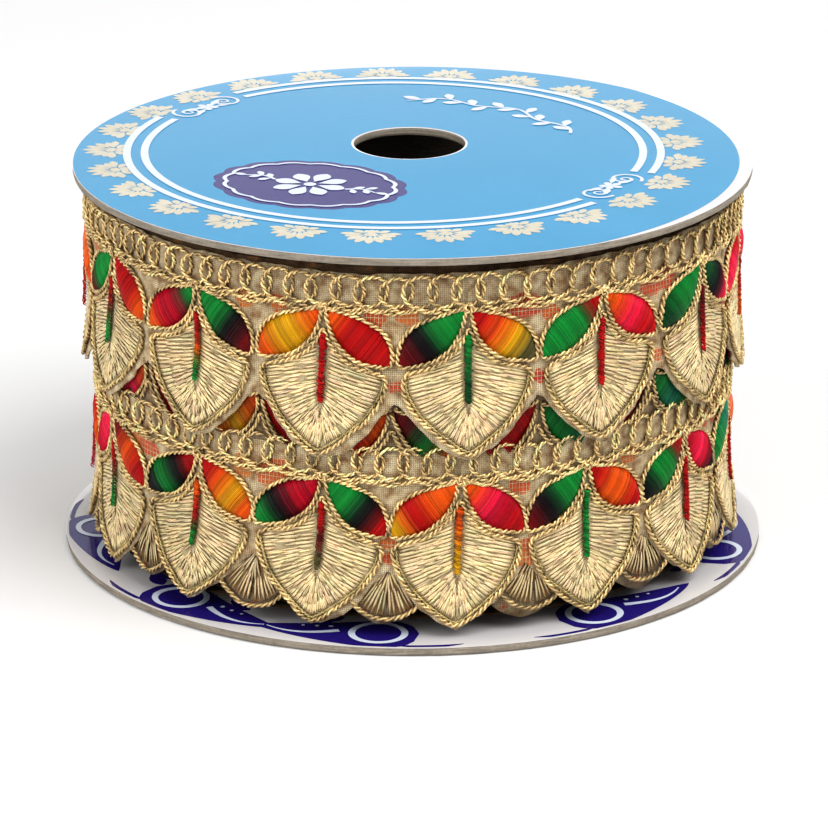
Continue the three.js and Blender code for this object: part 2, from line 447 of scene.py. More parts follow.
def tube_quads(rings, sides, closed):
    """Faces of a tube of rings of points."""
    ring, side = np.meshgrid(np.arange(rings if closed else rings - 1), np.arange(sides), indexing="ij")
    after, beside = (ring + 1) % rings, (side + 1) % sides
    corners = [ring * sides + side, ring * sides + beside, after * sides + beside, after * sides + side]
    return np.stack(corners, -1).reshape(-1, 4)


def across_of(line, closed):
    """The sideways direction of a flat line at each of its points."""
    ahead = np.roll(line, -1, 0) - np.roll(line, 1, 0)
    if not closed:
        ahead[0], ahead[-1] = line[1] - line[0], line[-1] - line[-2]
    side = np.stack([-ahead[:, 1], ahead[:, 0]], 1)
    return side / np.linalg.norm(side, axis=1, keepdims=True).clip(1e-9)


# A two-ply cord's section, in cord widths: two round plies with a groove on each side between them
CORD_SECTION = np.array([(0.41, 0.25), (0, 0.17), (-0.41, 0.25), (-0.41, -0.25), (0, -0.17), (0.41, -0.25)])
# Which points of the section are crests; the rest lie in the grooves, which are painted darker as shade
CORD_LIT_CRESTS = np.array([1, 0, 1, 1, 0, 1])
# How far a cord's twist strays, in radians, and the middle and spread of its painted glint from bead to bead
LAY_SLACK = 0.55
CORD_PAINTED_GLINT = (1.04, 0.26)
STRAND_END = 0.55


def lay_cord(skein, row, line, width, colours, chance, closed=False, lay=None):
    """Sweeps a twisted cord along a flat line, and winds it onto the roll."""
    line = np.asarray(line, float)
    run = np.concatenate([[0], np.cumsum(np.linalg.norm(np.diff(line, axis=0), axis=1))])
    lay = lay or trim().cord_lay / MM
    if closed:
        lay = run[-1] / max(round(run[-1] / lay), 1)
    beads = np.arange(0, run[-1] + lay, lay / 2)
    slack = np.interp(run, beads, chance.normal(0, LAY_SLACK, len(beads))) * np.clip(4 * (1 - run / run[-1]), 0, 1)
    turn = chance.uniform(0, 6.28) + 2 * math.pi * run / lay + slack * np.clip(4 * run / run[-1], 0, 1)
    fat = width * (1 + 0.1 * np.sin(run * 1.7 + chance.uniform(0, 6)))
    across, up = CORD_SECTION[:, 0], CORD_SECTION[:, 1]
    sideways = (np.cos(turn)[:, None] * across - np.sin(turn)[:, None] * up) * fat[:, None]
    outwards = (np.sin(turn)[:, None] * across + np.cos(turn)[:, None] * up) * fat[:, None]
    side = across_of(line, closed)
    points = np.empty((len(line), len(CORD_SECTION), 3))
    points[..., :2] = line[:, None, :2] + sideways[..., None] * side[:, None, :]
    points[..., 2] = line[:, 2:3] + outwards
    # Crests take the crest colour and grooves the darker groove colour as painted shade, and both brighten or dim from
    # bead to bead as painted glints
    crest, groove = colours
    painted_glints = chance.normal(*CORD_PAINTED_GLINT, len(beads))
    painted_shine = np.interp(run, beads, painted_glints) + 0.1 * np.sin(run * 0.6 + chance.uniform(0, 6))
    painted = np.where(CORD_LIT_CRESTS[None, :, None], crest, groove) * painted_shine[:, None, None]
    quads = tube_quads(len(line), len(CORD_SECTION), closed)
    if not closed:
        cap = np.array([(0, 1, 4, 5), (1, 2, 3, 4)])
        quads = np.concatenate([quads, cap, cap[:, ::-1] + (len(line) - 1) * len(CORD_SECTION)])
    skein.add(wind(row, points.reshape(-1, 3)), quads, colours=painted.reshape(-1, 3).clip(0, 1))


def lay_strand(skein, row, line, width, height, colour):
    """Lays a short straight or bowed strand, three-sided and closed, and winds it onto the roll."""
    line = np.asarray(line, float)
    side = across_of(line, False) * width / 2
    taper = np.ones(len(line))
    taper[[0, -1]] = STRAND_END
    aside = side[:, None, :] * np.array([-1, 0, 1])[None, :, None] * taper[:, None, None]
    points = np.empty((len(line), 3, 3))
    points[..., :2] = line[:, None, :2] + aside
    points[..., 2] = line[:, 2:3] + np.array([0, 1, 0]) * height * taper[:, None]
    last = 3 * (len(line) - 1)
    skein.add(
        wind(row, points.reshape(-1, 3)),
        tube_quads(len(line), 3, False)[:, ::-1],
        [(0, 1, 2), (last + 2, last + 1, last)],
        colours=colour,
    )


# ---------------------------------------------------------------- materials


def plug(tree, value, socket):
    """Feeds a socket from another socket or with a plain value."""
    if isinstance(value, bpy.types.NodeSocket):
        tree.links.new(value, socket)
    else:
        socket.default_value = value


def add_node(tree, kind, inputs=(), **settings):
    """Adds a node with its settings, and feeds its inputs by name or number."""
    node = tree.nodes.new(kind)
    for name, value in settings.items():
        setattr(node, name, value)
    for name, value in dict(inputs).items():
        plug(tree, value, node.inputs[name])
    return node


def calculated(tree, operation, *values):
    node = add_node(tree, "ShaderNodeMath", enumerate(values), operation=operation)
    return node.outputs[0]


def mixed(tree, share, first, second, blend="MIX"):
    node = tree.nodes.new("ShaderNodeMix")
    node.data_type, node.blend_type = "RGBA", blend
    for value, socket in ((share, node.inputs[0]), (first, node.inputs[6]), (second, node.inputs[7])):
        plug(tree, value, socket)
    return node.outputs[2]


def plus(tree, first, second):
    return calculated(tree, "ADD", first, second)


def minus(tree, first, second):
    return calculated(tree, "SUBTRACT", first, second)


def times(tree, first, second):
    return calculated(tree, "MULTIPLY", first, second)


def noise(tree, place, scale, detail, output="Fac"):
    return add_node(tree, "ShaderNodeTexNoise", {"Vector": place, "Scale": scale, "Detail": detail}).outputs[output]


def ranged(tree, value, low, high, least=0.0, most=1.0):
    """A value between least and most, by where the given one lies between low and high."""
    inputs = {0: value, 1: low, 2: high, 3: least, 4: most}
    return add_node(tree, "ShaderNodeMapRange", inputs).outputs[0]


def toned(tree, colour, shade):
    """A colour, darker or paler by a shade."""
    grey = add_node(tree, "ShaderNodeCombineColor", {0: shade, 1: shade, 2: shade}).outputs[0]
    return mixed(tree, 1.0, colour, grey, "MULTIPLY")


def moved(tree, operation, inputs):
    return add_node(tree, "ShaderNodeVectorMath", inputs, operation=operation).outputs[0]


def object_place(tree):
    return add_node(tree, "ShaderNodeTexCoord").outputs["Object"]


def opaque(colour):
    return (*colour, 1.0)


SOCKET_KINDS = {1: "NodeSocketFloat", 3: "NodeSocketVector", 4: "NodeSocketColor"}


def new_group(name, inputs, outputs):
    """A shader node group with named sockets: its inputs with their defaults, and the names of its outputs."""
    group = bpy.data.node_groups.new(name, "ShaderNodeTree")
    for label, default in inputs.items():
        kind = SOCKET_KINDS[np.size(default)]
        group.interface.new_socket(label, in_out="INPUT", socket_type=kind).default_value = default
    for label in outputs:
        kind = SOCKET_KINDS[4 if label == "Colour" else 1]
        group.interface.new_socket(label, in_out="OUTPUT", socket_type=kind)
    return group, group.nodes.new("NodeGroupInput").outputs, group.nodes.new("NodeGroupOutput").inputs


def placed_group(tree, name, **inputs):
    """Places a shared node group, which is built the first time that it is asked for."""
    node = tree.nodes.new("ShaderNodeGroup")
    node.node_tree = bpy.data.node_groups.get(name) or NODE_GROUPS[name](name)
    for label, value in inputs.items():
        plug(tree, value, node.inputs[label])
    return node.outputs


def build_spun_fibre(name):
    """Fine fibres and uneven dye of any thread."""
    group, given, out = new_group(
        name,
        {"Colour": (0.5, 0.5, 0.5, 1), "Fibre": 5000.0, "Unevenness": 0.3, "Roughness": 0.4},
        ("Colour", "Roughness", "Height"),
    )
    place = object_place(group)
    fine = noise(group, place, given["Fibre"], 2.0)
    broad = noise(group, place, 260.0, 2.0)
    both = plus(group, fine, times(group, broad, 0.8))
    shift = times(group, minus(group, both, 0.9), given["Unevenness"])
    shade = plus(group, 1.0, times(group, shift, 2.2))
    plug(group, toned(group, given["Colour"], shade), out["Colour"])
    plug(group, plus(group, given["Roughness"], times(group, shift, 0.8)), out["Roughness"])
    plug(group, fine, out["Height"])
    return group


def build_open_weave(name):
    """An open plain weave. Its place is in millimetres along and down the cloth."""
    group, given, out = new_group(
        name, {"Place": (0, 0, 0), "Pitch": 0.36, "Slackness": 0.12}, ("Height", "Hole", "Float", "Shade")
    )
    drift = noise(group, given["Place"], 0.8, 3.0, "Color")
    centred = moved(group, "SUBTRACT", {0: drift, 1: (0.5, 0.5, 0.5)})
    sway = moved(group, "SCALE", {0: centred, "Scale": given["Slackness"]})
    axes = add_node(group, "ShaderNodeSeparateXYZ", {0: moved(group, "ADD", {0: given["Place"], 1: sway})}).outputs
    turns = calculated(group, "DIVIDE", math.pi, given["Pitch"])
    waves, dots = [], []
    for axis, share in ((0, 0.5), (1, 0.4)):
        angle = times(group, axes[axis], turns)
        crown = calculated(group, "ABSOLUTE", calculated(group, "COSINE", angle))
        waves.append((crown, calculated(group, "SINE", angle)))
        coarse = calculated(group, "SINE", times(group, axes[axis], times(group, turns, share)))
        dots.append(calculated(group, "ABSOLUTE", coarse))
    (warp, warp_over), (weft, weft_over) = waves
    over = times(group, times(group, warp_over, weft_over), 0.3)
    height = calculated(group, "MAXIMUM", plus(group, warp, over), minus(group, weft, over))
    plug(group, height, out["Height"])
    plug(group, minus(group, 1.0, ranged(group, height, 0.5, 0.85)), out["Hole"])
    plug(group, calculated(group, "GREATER_THAN", calculated(group, "MINIMUM", *dots), 0.26), out["Float"])
    plug(group, noise(group, given["Place"], 0.42, 6.0), out["Shade"])
    return group


def build_board_grain(name):
    """Pressed grey board: thin layers seen on its cut edge, with flecks of pulp."""
    group, given, out = new_group(name, {"Colour": (0.5, 0.45, 0.4, 1), "Layers": 4.5}, ("Colour", "Height"))
    place = object_place(group)
    squeezed = add_node(group, "ShaderNodeMapping", {"Vector": place, "Scale": (1.0, 1.0, 14.0)}).outputs[0]
    layers = noise(group, squeezed, 210.0, given["Layers"])
    flecks = noise(group, place, 1500.0, 3.0)
    height = plus(group, times(group, layers, 0.7), times(group, flecks, 0.3))
    plug(group, toned(group, given["Colour"], ranged(group, height, 0.33, 0.67, 0.62, 1.3)), out["Colour"])
    plug(group, height, out["Height"])
    return group


def build_ink_on_paper(name):
    """Printed ink with a slight mottle, over paper fibres."""
    group, given, out = new_group(
        name, {"Ink": (0.5, 0.5, 0.5, 1), "Mottle": 0.06, "Roughness": 0.2}, ("Colour", "Roughness", "Height")
    )
    place = object_place(group)
    broad = noise(group, place, 55.0, 4.0)
    fibres = noise(group, place, 1300.0, 3.0)
    both = minus(group, plus(group, broad, fibres), 1.0)
    shade = plus(group, 1.0, times(group, both, given["Mottle"]))
    plug(group, toned(group, given["Ink"], shade), out["Colour"])
    plug(group, plus(group, given["Roughness"], times(group, broad, 0.12)), out["Roughness"])
    plug(group, fibres, out["Height"])
    return group


NODE_GROUPS = {
    "spun_fibre": build_spun_fibre,
    "open_weave": build_open_weave,
    "board_grain": build_board_grain,
    "ink_on_paper": build_ink_on_paper,
}


def new_material(name, **values):
    """A material with a Principled BSDF whose plain values are given by socket name."""
    material = bpy.data.materials.new(name)
    material.use_nodes = True
    shader = material.node_tree.nodes["Principled BSDF"]
    for label, value in values.items():
        shader.inputs[label.replace("_", " ")].default_value = value
    return material, material.node_tree, shader.inputs


def bump(tree, inputs, height, distance, strength=0.5):
    node = add_node(tree, "ShaderNodeBump", {"Height": height, "Distance": distance, "Strength": strength})
    plug(tree, node.outputs[0], inputs["Normal"])


def thread_material(name, roughness, unevenness, fibre=5000.0, **values):
    """Thread of any kind, dyed by the colours painted on its piece, which also carry painted highlights and shade."""
    if found := bpy.data.materials.get(name):
        return found
    material, tree, inputs = new_material(name, **values)
    dyed = add_node(tree, "ShaderNodeAttribute", attribute_name="thread_colour").outputs["Color"]
    spun = placed_group(tree, "spun_fibre", Colour=dyed, Fibre=fibre, Unevenness=unevenness, Roughness=roughness)
    plug(tree, spun["Colour"], inputs["Base Color"])
    plug(tree, spun["Roughness"], inputs["Roughness"])
    bump(tree, inputs, spun["Height"], 0.00008)
    return material


def gold_cord_material():
    return thread_material("twisted_gold_cord", 0.36, 0.36, Metallic=0.45, Specular_IOR_Level=0.5)


def zari_material():
    return thread_material("pale_metal_thread", 0.34, 0.3, Metallic=0.35, Specular_IOR_Level=0.6)


def satin_material():
    return thread_material("variegated_satin_thread", 0.4, 0.14, 4000.0, Specular_IOR_Level=0.2)


# The ground cloth's dark and pale threads as multiples of its own colour, its holes and its inner turns dimmed from it
# as painted shade, the colours of its floats, and the near-black of painted shade that its marks call for
DARK_THREADS = (0.62, 0.47, 0.38)
PALE_THREADS = (1.6, 1.8, 2.15)
HOLE_PAINTED_SHADE = 0.2
INNER_TURNS_PAINTED_SHADE = (0.24, 0.18, 0.14)
RED_FLOATS = (0.52, 0.03, 0.018)
ORANGE_FLOATS = (0.62, 0.19, 0.02)
DEEP_SHADE = (0.03, 0.015, 0.006)


def cloth_material(name, base):
    """Ground cloth: an open weave with coloured floats where its painted marks say so, its holes darkened as painted
    shade, and the whole darkened to near-black as painted shade where its marks ask for it.
    """
    if found := bpy.data.materials.get(name):
        return found
    material, tree, inputs = new_material(name, Roughness=0.8, Sheen_Weight=0.05, Specular_IOR_Level=0.25)
    place = add_node(tree, "ShaderNodeAttribute", attribute_name="flat_place").outputs["Vector"]
    marks = add_node(tree, "ShaderNodeAttribute", attribute_name="thread_colour").outputs["Color"]
    weave = placed_group(tree, "open_weave", Place=place, Pitch=trim().weave_pitch / MM)
    shade = ranged(tree, weave["Shade"], 0.34, 0.64)
    plain = mixed(tree, shade, opaque(np.multiply(base, DARK_THREADS)), opaque(np.multiply(base, PALE_THREADS)))
    floats, orange, deep = add_node(tree, "ShaderNodeSeparateColor", {0: marks}).outputs
    ragged = calculated(tree, "MULTIPLY_ADD", minus(tree, shade, 0.5), 0.6, floats)
    cover = plus(tree, 0.16, times(tree, weave["Float"], 0.82))
    patch = times(tree, ranged(tree, ragged, 0.36, 0.52), cover)
    coloured = mixed(tree, patch, plain, mixed(tree, orange, opaque(RED_FLOATS), opaque(ORANGE_FLOATS)))
    # Holes are darkened as painted shade, and the marks' third part darkens the cloth to near-black as painted shade
    holed = mixed(tree, times(tree, weave["Hole"], 0.85), coloured, opaque(np.multiply(base, HOLE_PAINTED_SHADE)))
    plug(tree, mixed(tree, deep, holed, opaque(DEEP_SHADE)), inputs["Base Color"])
    bump(tree, inputs, weave["Height"], 0.00014, 0.8)
    return material


def board_material():
    if found := bpy.data.materials.get("cut_grey_board"):
        return found
    material, tree, inputs = new_material("cut_grey_board", Roughness=0.88)
    grain = placed_group(tree, "board_grain", Colour=opaque(reel().board))
    plug(tree, grain["Colour"], inputs["Base Color"])
    bump(tree, inputs, grain["Height"], 0.00025)
    return material


def print_material(name, ink, mottle=0.06):
    """One ink of the discs' glossy print."""
    if found := bpy.data.materials.get(name):
        return found
    material, tree, inputs = new_material(name, Coat_Weight=0.42, Coat_Roughness=0.04, Specular_IOR_Level=0.2)
    paper = placed_group(tree, "ink_on_paper", Ink=opaque(ink), Mottle=mottle, Roughness=0.16)
    plug(tree, paper["Colour"], inputs["Base Color"])
    plug(tree, paper["Roughness"], inputs["Roughness"])
    bump(tree, inputs, paper["Height"], 0.00002, 0.3)
    return material


# ---------------------------------------------------------------- the card reel


def disc_loop(share, offset, height, sides, radius):
    """A loop of points that lies between the spindle hole, at share 0, and the disc's rim, at share 1."""
    angle = np.linspace(0, 2 * math.pi, sides, endpoint=False)
    way = np.stack([np.cos(angle), np.sin(angle)], 1)
    flat = (HOLE_CENTRE + HOLE_RADIUS * way) * (1 - share) + radius * way * share + way * offset
    return raised(flat, height)


# The lower disc's paper is dimmed as painted shade, since it lies under the roll
LOWER_PAPER_PAINTED_SHADE = 0.85


def make_board(name, radius, foot, node, slot):
    """A board disc with pressed edges, its cut edges bare and its upper face covered with white paper."""
    sides, chance = 192, np.random.default_rng(5)
    body = LOWER_DISC_TOP - PAPER_THICKNESS
    bare = [(0, 0, 0.02), (0, 0.25, 0), (0.3, 0, 0), (0.97, 0, 0), (1, -0.3, 0), (1, -0.07, 0.12), (1, 0, 0.4),
            (1, -0.03, 0.75), (1, -0.01, 1.05), (1, -0.05, body)]
    covered = [(1, 0.0, body), (1, 0.0, body + 0.05), (1, -0.08, LOWER_DISC_TOP), (0.94, 0, LOWER_DISC_TOP),
               (0.5, 0, LOWER_DISC_TOP), (0.06, 0, LOWER_DISC_TOP), (0, 0.1, LOWER_DISC_TOP), (0, 0, body + 0.04),
               (0, 0, body)]
    wall = [(0, 0.05, body), (0, 0.02, 0.9), (0, 0.05, 0.5)]
    board, paper = Skein(), Skein()
    for skein, profile in ((board, bare + wall), (paper, covered)):
        loops = []
        for share, offset, height in profile:
            loop = disc_loop(share, offset, foot + height, sides, radius)
            if share in (0, 1) and 0.05 < height < body:
                loop[:, :2] *= 1 + chance.normal(0, 0.0004, (sides, 1))
            loops.append(loop)
        skein.add(np.concatenate(loops) * MM, tube_quads(len(profile), sides, True))
    board.piece(f"{name}_board", board_material(), slot, node)
    # The lower paper is dimmed as painted shade
    white = np.multiply(reel().paper, LOWER_PAPER_PAINTED_SHADE if name == "lower" else 1)
    paper.piece(f"{name}_paper", print_material(f"{name}_white_paper", white, 0.04), slot)


# Shapes of one print lie on so many levels, each a little above the last, so that none lies in another
PRINT_LEVELS = 12
LEVEL_RISE = 0.003
WHITE_INK = (0.62, 0.68, 0.78)


class Print:
    """Flat printed shapes on a disc, in millimetres from the print's own centre."""

    def __init__(self, level, centre=(0, 0)):
        self.level, self.centre, self.skein, self.shapes = level, np.array(centre, float), Skein(), 0

    def keep_within(self, radius):
        """Trims all shapes drawn so far at the disc's rim."""
        for part in self.skein.points:
            reach = np.linalg.norm(part[:, :2], axis=1, keepdims=True)
            part[:, :2] *= np.minimum(radius * MM / reach.clip(1e-9), 1)

    def fill(self, outline):
        """Fills an outline whose every point shows from its middle."""
        outline = np.asarray(outline, float)
        points = np.concatenate([outline, outline.mean(0)[None]]) + self.centre
        count = len(outline)
        rim = np.arange(count)
        self.add(points, np.stack([rim, (rim + 1) % count, np.full(count, count)], 1))

    def stroke(self, line, widths):
        """Draws a line of changing width."""
        line = np.asarray(line, float)
        side = across_of(line, False) * (np.broadcast_to(widths, len(line)) / 2)[:, None]
        start = np.arange(len(line) - 1) * 2
        quads = np.stack([start, start + 1, start + 3, start + 2], 1)
        self.add(np.stack([line + side, line - side], 1).reshape(-1, 2) + self.centre, quads)

    def band(self, inner, outer):
        """Fills the band between two loops of as many points."""
        count = len(inner)
        self.add(np.concatenate([inner, outer]) + self.centre, tube_quads(2, count, False))

    def add(self, points, faces):
        """Adds a shape of quads or triangles, face up and on its own level."""
        self.shapes += 1
        level = self.level + (self.shapes % PRINT_LEVELS) * LEVEL_RISE
        corners = points[faces[:, :3]]
        ahead, beside = corners[:, 1] - corners[:, 0], corners[:, 2] - corners[:, 1]
        if (ahead[:, 0] * beside[:, 1] - ahead[:, 1] * beside[:, 0]).sum() < 0:
            faces = faces[:, ::-1]
        kind = "quads" if faces.shape[1] == 4 else "triangles"
        self.skein.add(raised(points, level) * MM, **{kind: faces})


def turned(points, degrees, origin=(0, 0)):
    angle = math.radians(degrees)
    spin = np.array([(math.cos(angle), math.sin(angle)), (-math.sin(angle), math.cos(angle))])
    return np.asarray(points, float) @ spin + np.asarray(origin, float)


def drop_shape(length, width, fullness=0.6):
    """A petal that grows along +Y from its pointed foot, widest at its fullness."""
    share = np.linspace(0, 1, 14)
    half = width / 2 * np.sin(math.pi * share ** (math.log(0.5) / math.log(fullness))) ** 0.8
    right = np.stack([half, length * share], 1)
    return np.concatenate([right, (right * [-1, 1])[-2:0:-1]])


def circle(radius, points, centre=(0, 0)):
    angle = np.linspace(0, 2 * math.pi, points, endpoint=False)
    return np.stack([radius * np.cos(angle), radius * np.sin(angle)], 1) + np.asarray(centre, float)


def arc(radius, start, end, points):
    angle = np.radians(np.linspace(start, end, points))
    return np.stack([radius * np.cos(angle), radius * np.sin(angle)], 1)


CURL_TURNS = 1.35


def curl(size):
    """A scroll that starts flat and winds up into its own middle."""
    share = np.linspace(0, 1, 40)
    angle = math.pi * 2 * CURL_TURNS * share
    reach = size * (1 - 0.82 * share)
    return np.stack([reach * np.sin(angle), size - reach * np.cos(angle)], 1)


# The upper disc's print: its parts' centres, sizes and places on the disc
GROUND_CENTRE = (-6.5, 0.6)
GROUND_RADIUS = 69.0
FLOWERS = 25
FIRST_FLOWER_TURN = -94.4
FLOWERS_CENTRE = (-3.4, 3.9)
FLOWER_RADIUS = 53.6
RINGS_CENTRE = (-3.6, 4.7)
RING_RADII = (51.3, 47.9)
SCROLL_TURNS = (-30.8, 141.1)
SCROLL_REACH = 11.2
SCROLL_SCALE = 1.15
SCROLL_INSET = 2.0
MEDALLION_CENTRE = (-19.3, -18.7)
MEDALLION_SIZE = (18.4, 14.6)
MEDALLION_TILT = -26


def print_ground(level):
    """The print's ground colour, as far as it reaches on the disc, with paper left bare round the hole."""
    sheet = Print(level)
    sides = 240
    angle = np.linspace(0, 2 * math.pi, sides, endpoint=False)
    way = np.stack([np.cos(angle), np.sin(angle)], 1)
    board = UPPER_DISC_RADIUS - 0.1
    offset = way @ np.array(GROUND_CENTRE)
    reach = offset + np.sqrt(offset**2 + GROUND_RADIUS**2 - np.dot(GROUND_CENTRE, GROUND_CENTRE))
    outer = way * np.minimum(reach, board)[:, None]
    inner = HOLE_CENTRE + (HOLE_RADIUS + 0.45) * way
    loops = [inner + (outer - inner) * share for share in (0, 0.25, 0.5, 0.75, 1)]
    for first, second in zip(loops, loops[1:]):
        sheet.band(first, second)
    return sheet


def print_flower(sheet, turn, radius):
    """A half-open flower that faces outwards, with two rounded leaves at its foot."""

    def put(outline, degrees=0, along=0, out=0):
        local = turned(outline, degrees, (along, out))
        sheet.fill(turned(local + [0, radius], turn - 90))

    for degrees, length in zip((-66, -44, -22, 0, 22, 44, 66), (3.7, 4.4, 4.9, 5.1, 4.9, 4.4, 3.7)):
        start = np.array([-math.sin(math.radians(degrees)), math.cos(math.radians(degrees))]) * 1.5
        put(drop_shape(length, 1.7, 0.62), degrees, *start)
    for side in (-1, 1):
        put(drop_shape(4.4, 1.6, 0.66), side * 90, side * -1.3, 0.5)
        put(drop_shape(2.9, 1.5, 0.6), side * 122, side * -0.9, 0.1)
    for degrees in (150, 180, 210):
        put(drop_shape(2.3, 1.3, 0.6), degrees, 0, 0.3)
    put(circle(1.0, 16) * [1.35, 1], 0, 0, 1.0)


def make_upper_print():
    """Two white rings and a flower border on a blue ground, all printed a little off the disc's centre."""
    level = REEL_HEIGHT + PRINT_LIFT
    slot = "printed_board_upper"
    print_ground(level).skein.piece("upper_print_ground", print_material("sky_blue_ink", reel().ground), slot)
    cream = Print(level + PRINT_LIFT, FLOWERS_CENTRE)
    for place in range(FLOWERS):
        print_flower(cream, FIRST_FLOWER_TURN + place * 360 / FLOWERS, FLOWER_RADIUS)
    cream.keep_within(UPPER_DISC_RADIUS - 0.4)
    cream.skein.piece("upper_print_flowers", print_material("cream_ink", reel().cream, 0.35), slot)

    white = Print(level + 3 * PRINT_LIFT, RINGS_CENTRE)
    gap = math.degrees(SCROLL_REACH / RING_RADII[0])
    for radius in RING_RADII:
        for start, end in zip(SCROLL_TURNS, (SCROLL_TURNS[1], SCROLL_TURNS[0] + 360)):
            white.stroke(arc(radius, start + gap, end - gap, 90), reel().ring_width / MM)
    middle = sum(RING_RADII) / 2
    for turn in SCROLL_TURNS:
        print_scroll(white, turn, middle)
    print_vine(white)
    print_white_flower(white)
    white.skein.piece("upper_print_lines", print_material("white_ink", WHITE_INK, 0.05), slot)

    navy = Print(level + PRINT_LIFT * 0.5, MEDALLION_CENTRE)
    navy.fill(turned(medallion_edge(1), MEDALLION_TILT))
    navy.skein.piece("upper_print_medallion", print_material("navy_ink", reel().navy), slot)


def medallion_edge(share):
    """The medallion's scalloped edge."""
    angle = np.linspace(0, 2 * math.pi, 144, endpoint=False)
    reach = share * (1 + 0.045 * np.abs(np.sin(8 * angle)))
    return np.stack([MEDALLION_SIZE[0] * reach * np.cos(angle), MEDALLION_SIZE[1] * reach * np.sin(angle)], 1)


def print_white_flower(sheet):
    """The medallion's white line, with an open flower and two sprigs inside it."""
    shift = np.array(MEDALLION_CENTRE) - RINGS_CENTRE

    def put(points):
        return turned(points, MEDALLION_TILT, shift)

    sheet.band(put(medallion_edge(0.86)), put(medallion_edge(0.905)))
    for place in range(8):
        sheet.fill(put(turned(drop_shape(5.6, 3.3, 0.62) + [0, 1.7], place * 45)))
    sheet.fill(put(circle(1.2, 20)))
    for side in (-1, 1):
        stem = np.stack([side * np.linspace(7.4, 13.6, 20), 1.4 * np.sin(np.linspace(0, 3, 20))], 1)
        sheet.stroke(put(stem), np.linspace(0.7, 0.35, 20))
        for share, lean in ((0.2, 52), (0.2, -52), (0.55, 48), (0.55, -48), (0.95, 0)):
            sheet.fill(put(turned(drop_shape(2.9, 1.35), side * (-90) + lean, stem[int(share * 19)])))


def print_scroll(sheet, turn, radius):
    """A scroll ornament that closes the gap in the rings."""

    def put(points):
        return turned(np.asarray(points, float) * SCROLL_SCALE + [0, radius - SCROLL_INSET], turn - 90)

    for side in (-1, 1):
        line = curl(3.0) * [side, 1] * [1, -1] + [side * 4.6, 3.0]
        sheet.stroke(put(line), np.linspace(0.7, 0.4, len(line)))
        inner = curl(1.8) * [-side, 1] + [side * 4.4, -1.6]
        sheet.stroke(put(inner), np.linspace(0.6, 0.4, len(inner)))
        sheet.fill(put(turned(drop_shape(3.4, 1.3), side * -70, (side * 1.2, 0.2))))
        sheet.fill(put(turned(drop_shape(3.0, 1.1), side * -112, (side * 1.2, -0.6))))
    for place in range(5):
        sheet.fill(put(turned(drop_shape(2.1, 1.3), place * 72, (0, 0))))


def print_vine(sheet):
    """A small leafy vine behind the hole, where the print has room."""
    line = arc(36.0, 18, 86, 60)
    line += arc(1.0, 18, 86, 60) * (1.2 * np.sin(np.linspace(0, 17, 60)))[:, None]
    sheet.stroke(line, np.linspace(0.7, 0.5, 60))
    for place in range(3, 58, 4):
        ahead = line[place + 1] - line[place - 1]
        heading = math.degrees(math.atan2(ahead[1], ahead[0])) - 90
        side = 1 if place % 8 < 4 else -1
        sheet.fill(turned(drop_shape(4.2, 2.0), heading + side * 48, line[place]))


# The lower disc's print: long drops, the radius that they follow, and the share of a drop that is its round head
LONG_DROPS = 9
LONG_DROP_RADIUS = 60.6
LONG_DROP_HEAD = 0.22


def long_drop(size, reach):
    """A curved drop whose round head tapers into a tail that sweeps along the rim, as points along and out."""
    share = np.linspace(0, 1, 32)
    past = share - LONG_DROP_HEAD
    head = np.sqrt((1 - ((LONG_DROP_HEAD - share) / LONG_DROP_HEAD) ** 2).clip(0))
    half = size * np.where(past < 0, head, (1 - past / (1 - LONG_DROP_HEAD)) ** 0.8)
    centre = -size + (reach + size) * share
    bend = 3.2 * past.clip(0) ** 1.5
    upper, lower = np.stack([centre, bend + half], 1), np.stack([centre, bend - half * 0.85], 1)
    return np.concatenate([upper, lower[-2:0:-1]])


def along_rim(points, turn, flip):
    """Flat points along and out, laid along the disc's rim."""
    along, out = np.asarray(points, float).T
    angle = np.radians(turn) + flip * along / LONG_DROP_RADIUS
    return np.stack([(LONG_DROP_RADIUS + out) * np.cos(angle), (LONG_DROP_RADIUS + out) * np.sin(angle)], 1)


def make_lower_print():
    """Long navy drops with white eyes and lines, and leaves between them, round the lower disc."""
    navy = Print(LOWER_DISC_TOP + PRINT_LIFT)
    white = Print(LOWER_DISC_TOP + 3 * PRINT_LIFT)
    for place in range(LONG_DROPS):
        turn, flip = 24 + place * 360 / LONG_DROPS, 1 if place % 3 else -1
        navy.fill(along_rim(long_drop(7.6, 24.0), turn, flip))
        white.band(along_rim(circle(4.3, 40), turn, flip), along_rim(circle(5.6, 40) * [1, 0.96], turn, flip))
        tail = np.linspace(0, 1, 30)
        line = np.stack([7.4 + 13.5 * tail, 2.4 * np.sin(2.6 * tail) + 0.6 * tail], 1)
        white.stroke(along_rim(line, turn, flip), 1.1 * (1 - tail) + 0.25)
        for bead in range(3):
            white.fill(along_rim(circle(0.5 - 0.08 * bead, 10, (9.4 + bead * 2.6, -1.6 + bead * 0.5)), turn, flip))
        for lean, along, out in ((-64, 27.5, -3.2), (-104, 27.5, -3.2), (-84, 26.4, -6.4), (-40, 22.5, -7.5)):
            navy.fill(along_rim(turned(drop_shape(7.6, 3.2), -lean - 180, (along, out)), turn, flip))
        rim = np.stack([np.linspace(-13, -1, 24), 6.6 + 0.8 * np.sin(np.linspace(0, 3, 24))], 1)
        navy.stroke(along_rim(rim - [2.0, 0.9], turn, flip), 1.3 * np.sin(np.linspace(0.15, 3, 24)))
    for sheet, name, ink in ((navy, "drops", print_material("navy_ink", reel().navy)),
                             (white, "drop_lines", print_material("white_ink", WHITE_INK, 0.05))):
        sheet.keep_within(LOWER_DISC_RADIUS - 0.5)
        sheet.skein.piece(f"lower_print_{name}", ink, "printed_board_lower")


# ---------------------------------------------------------------- the wound trim


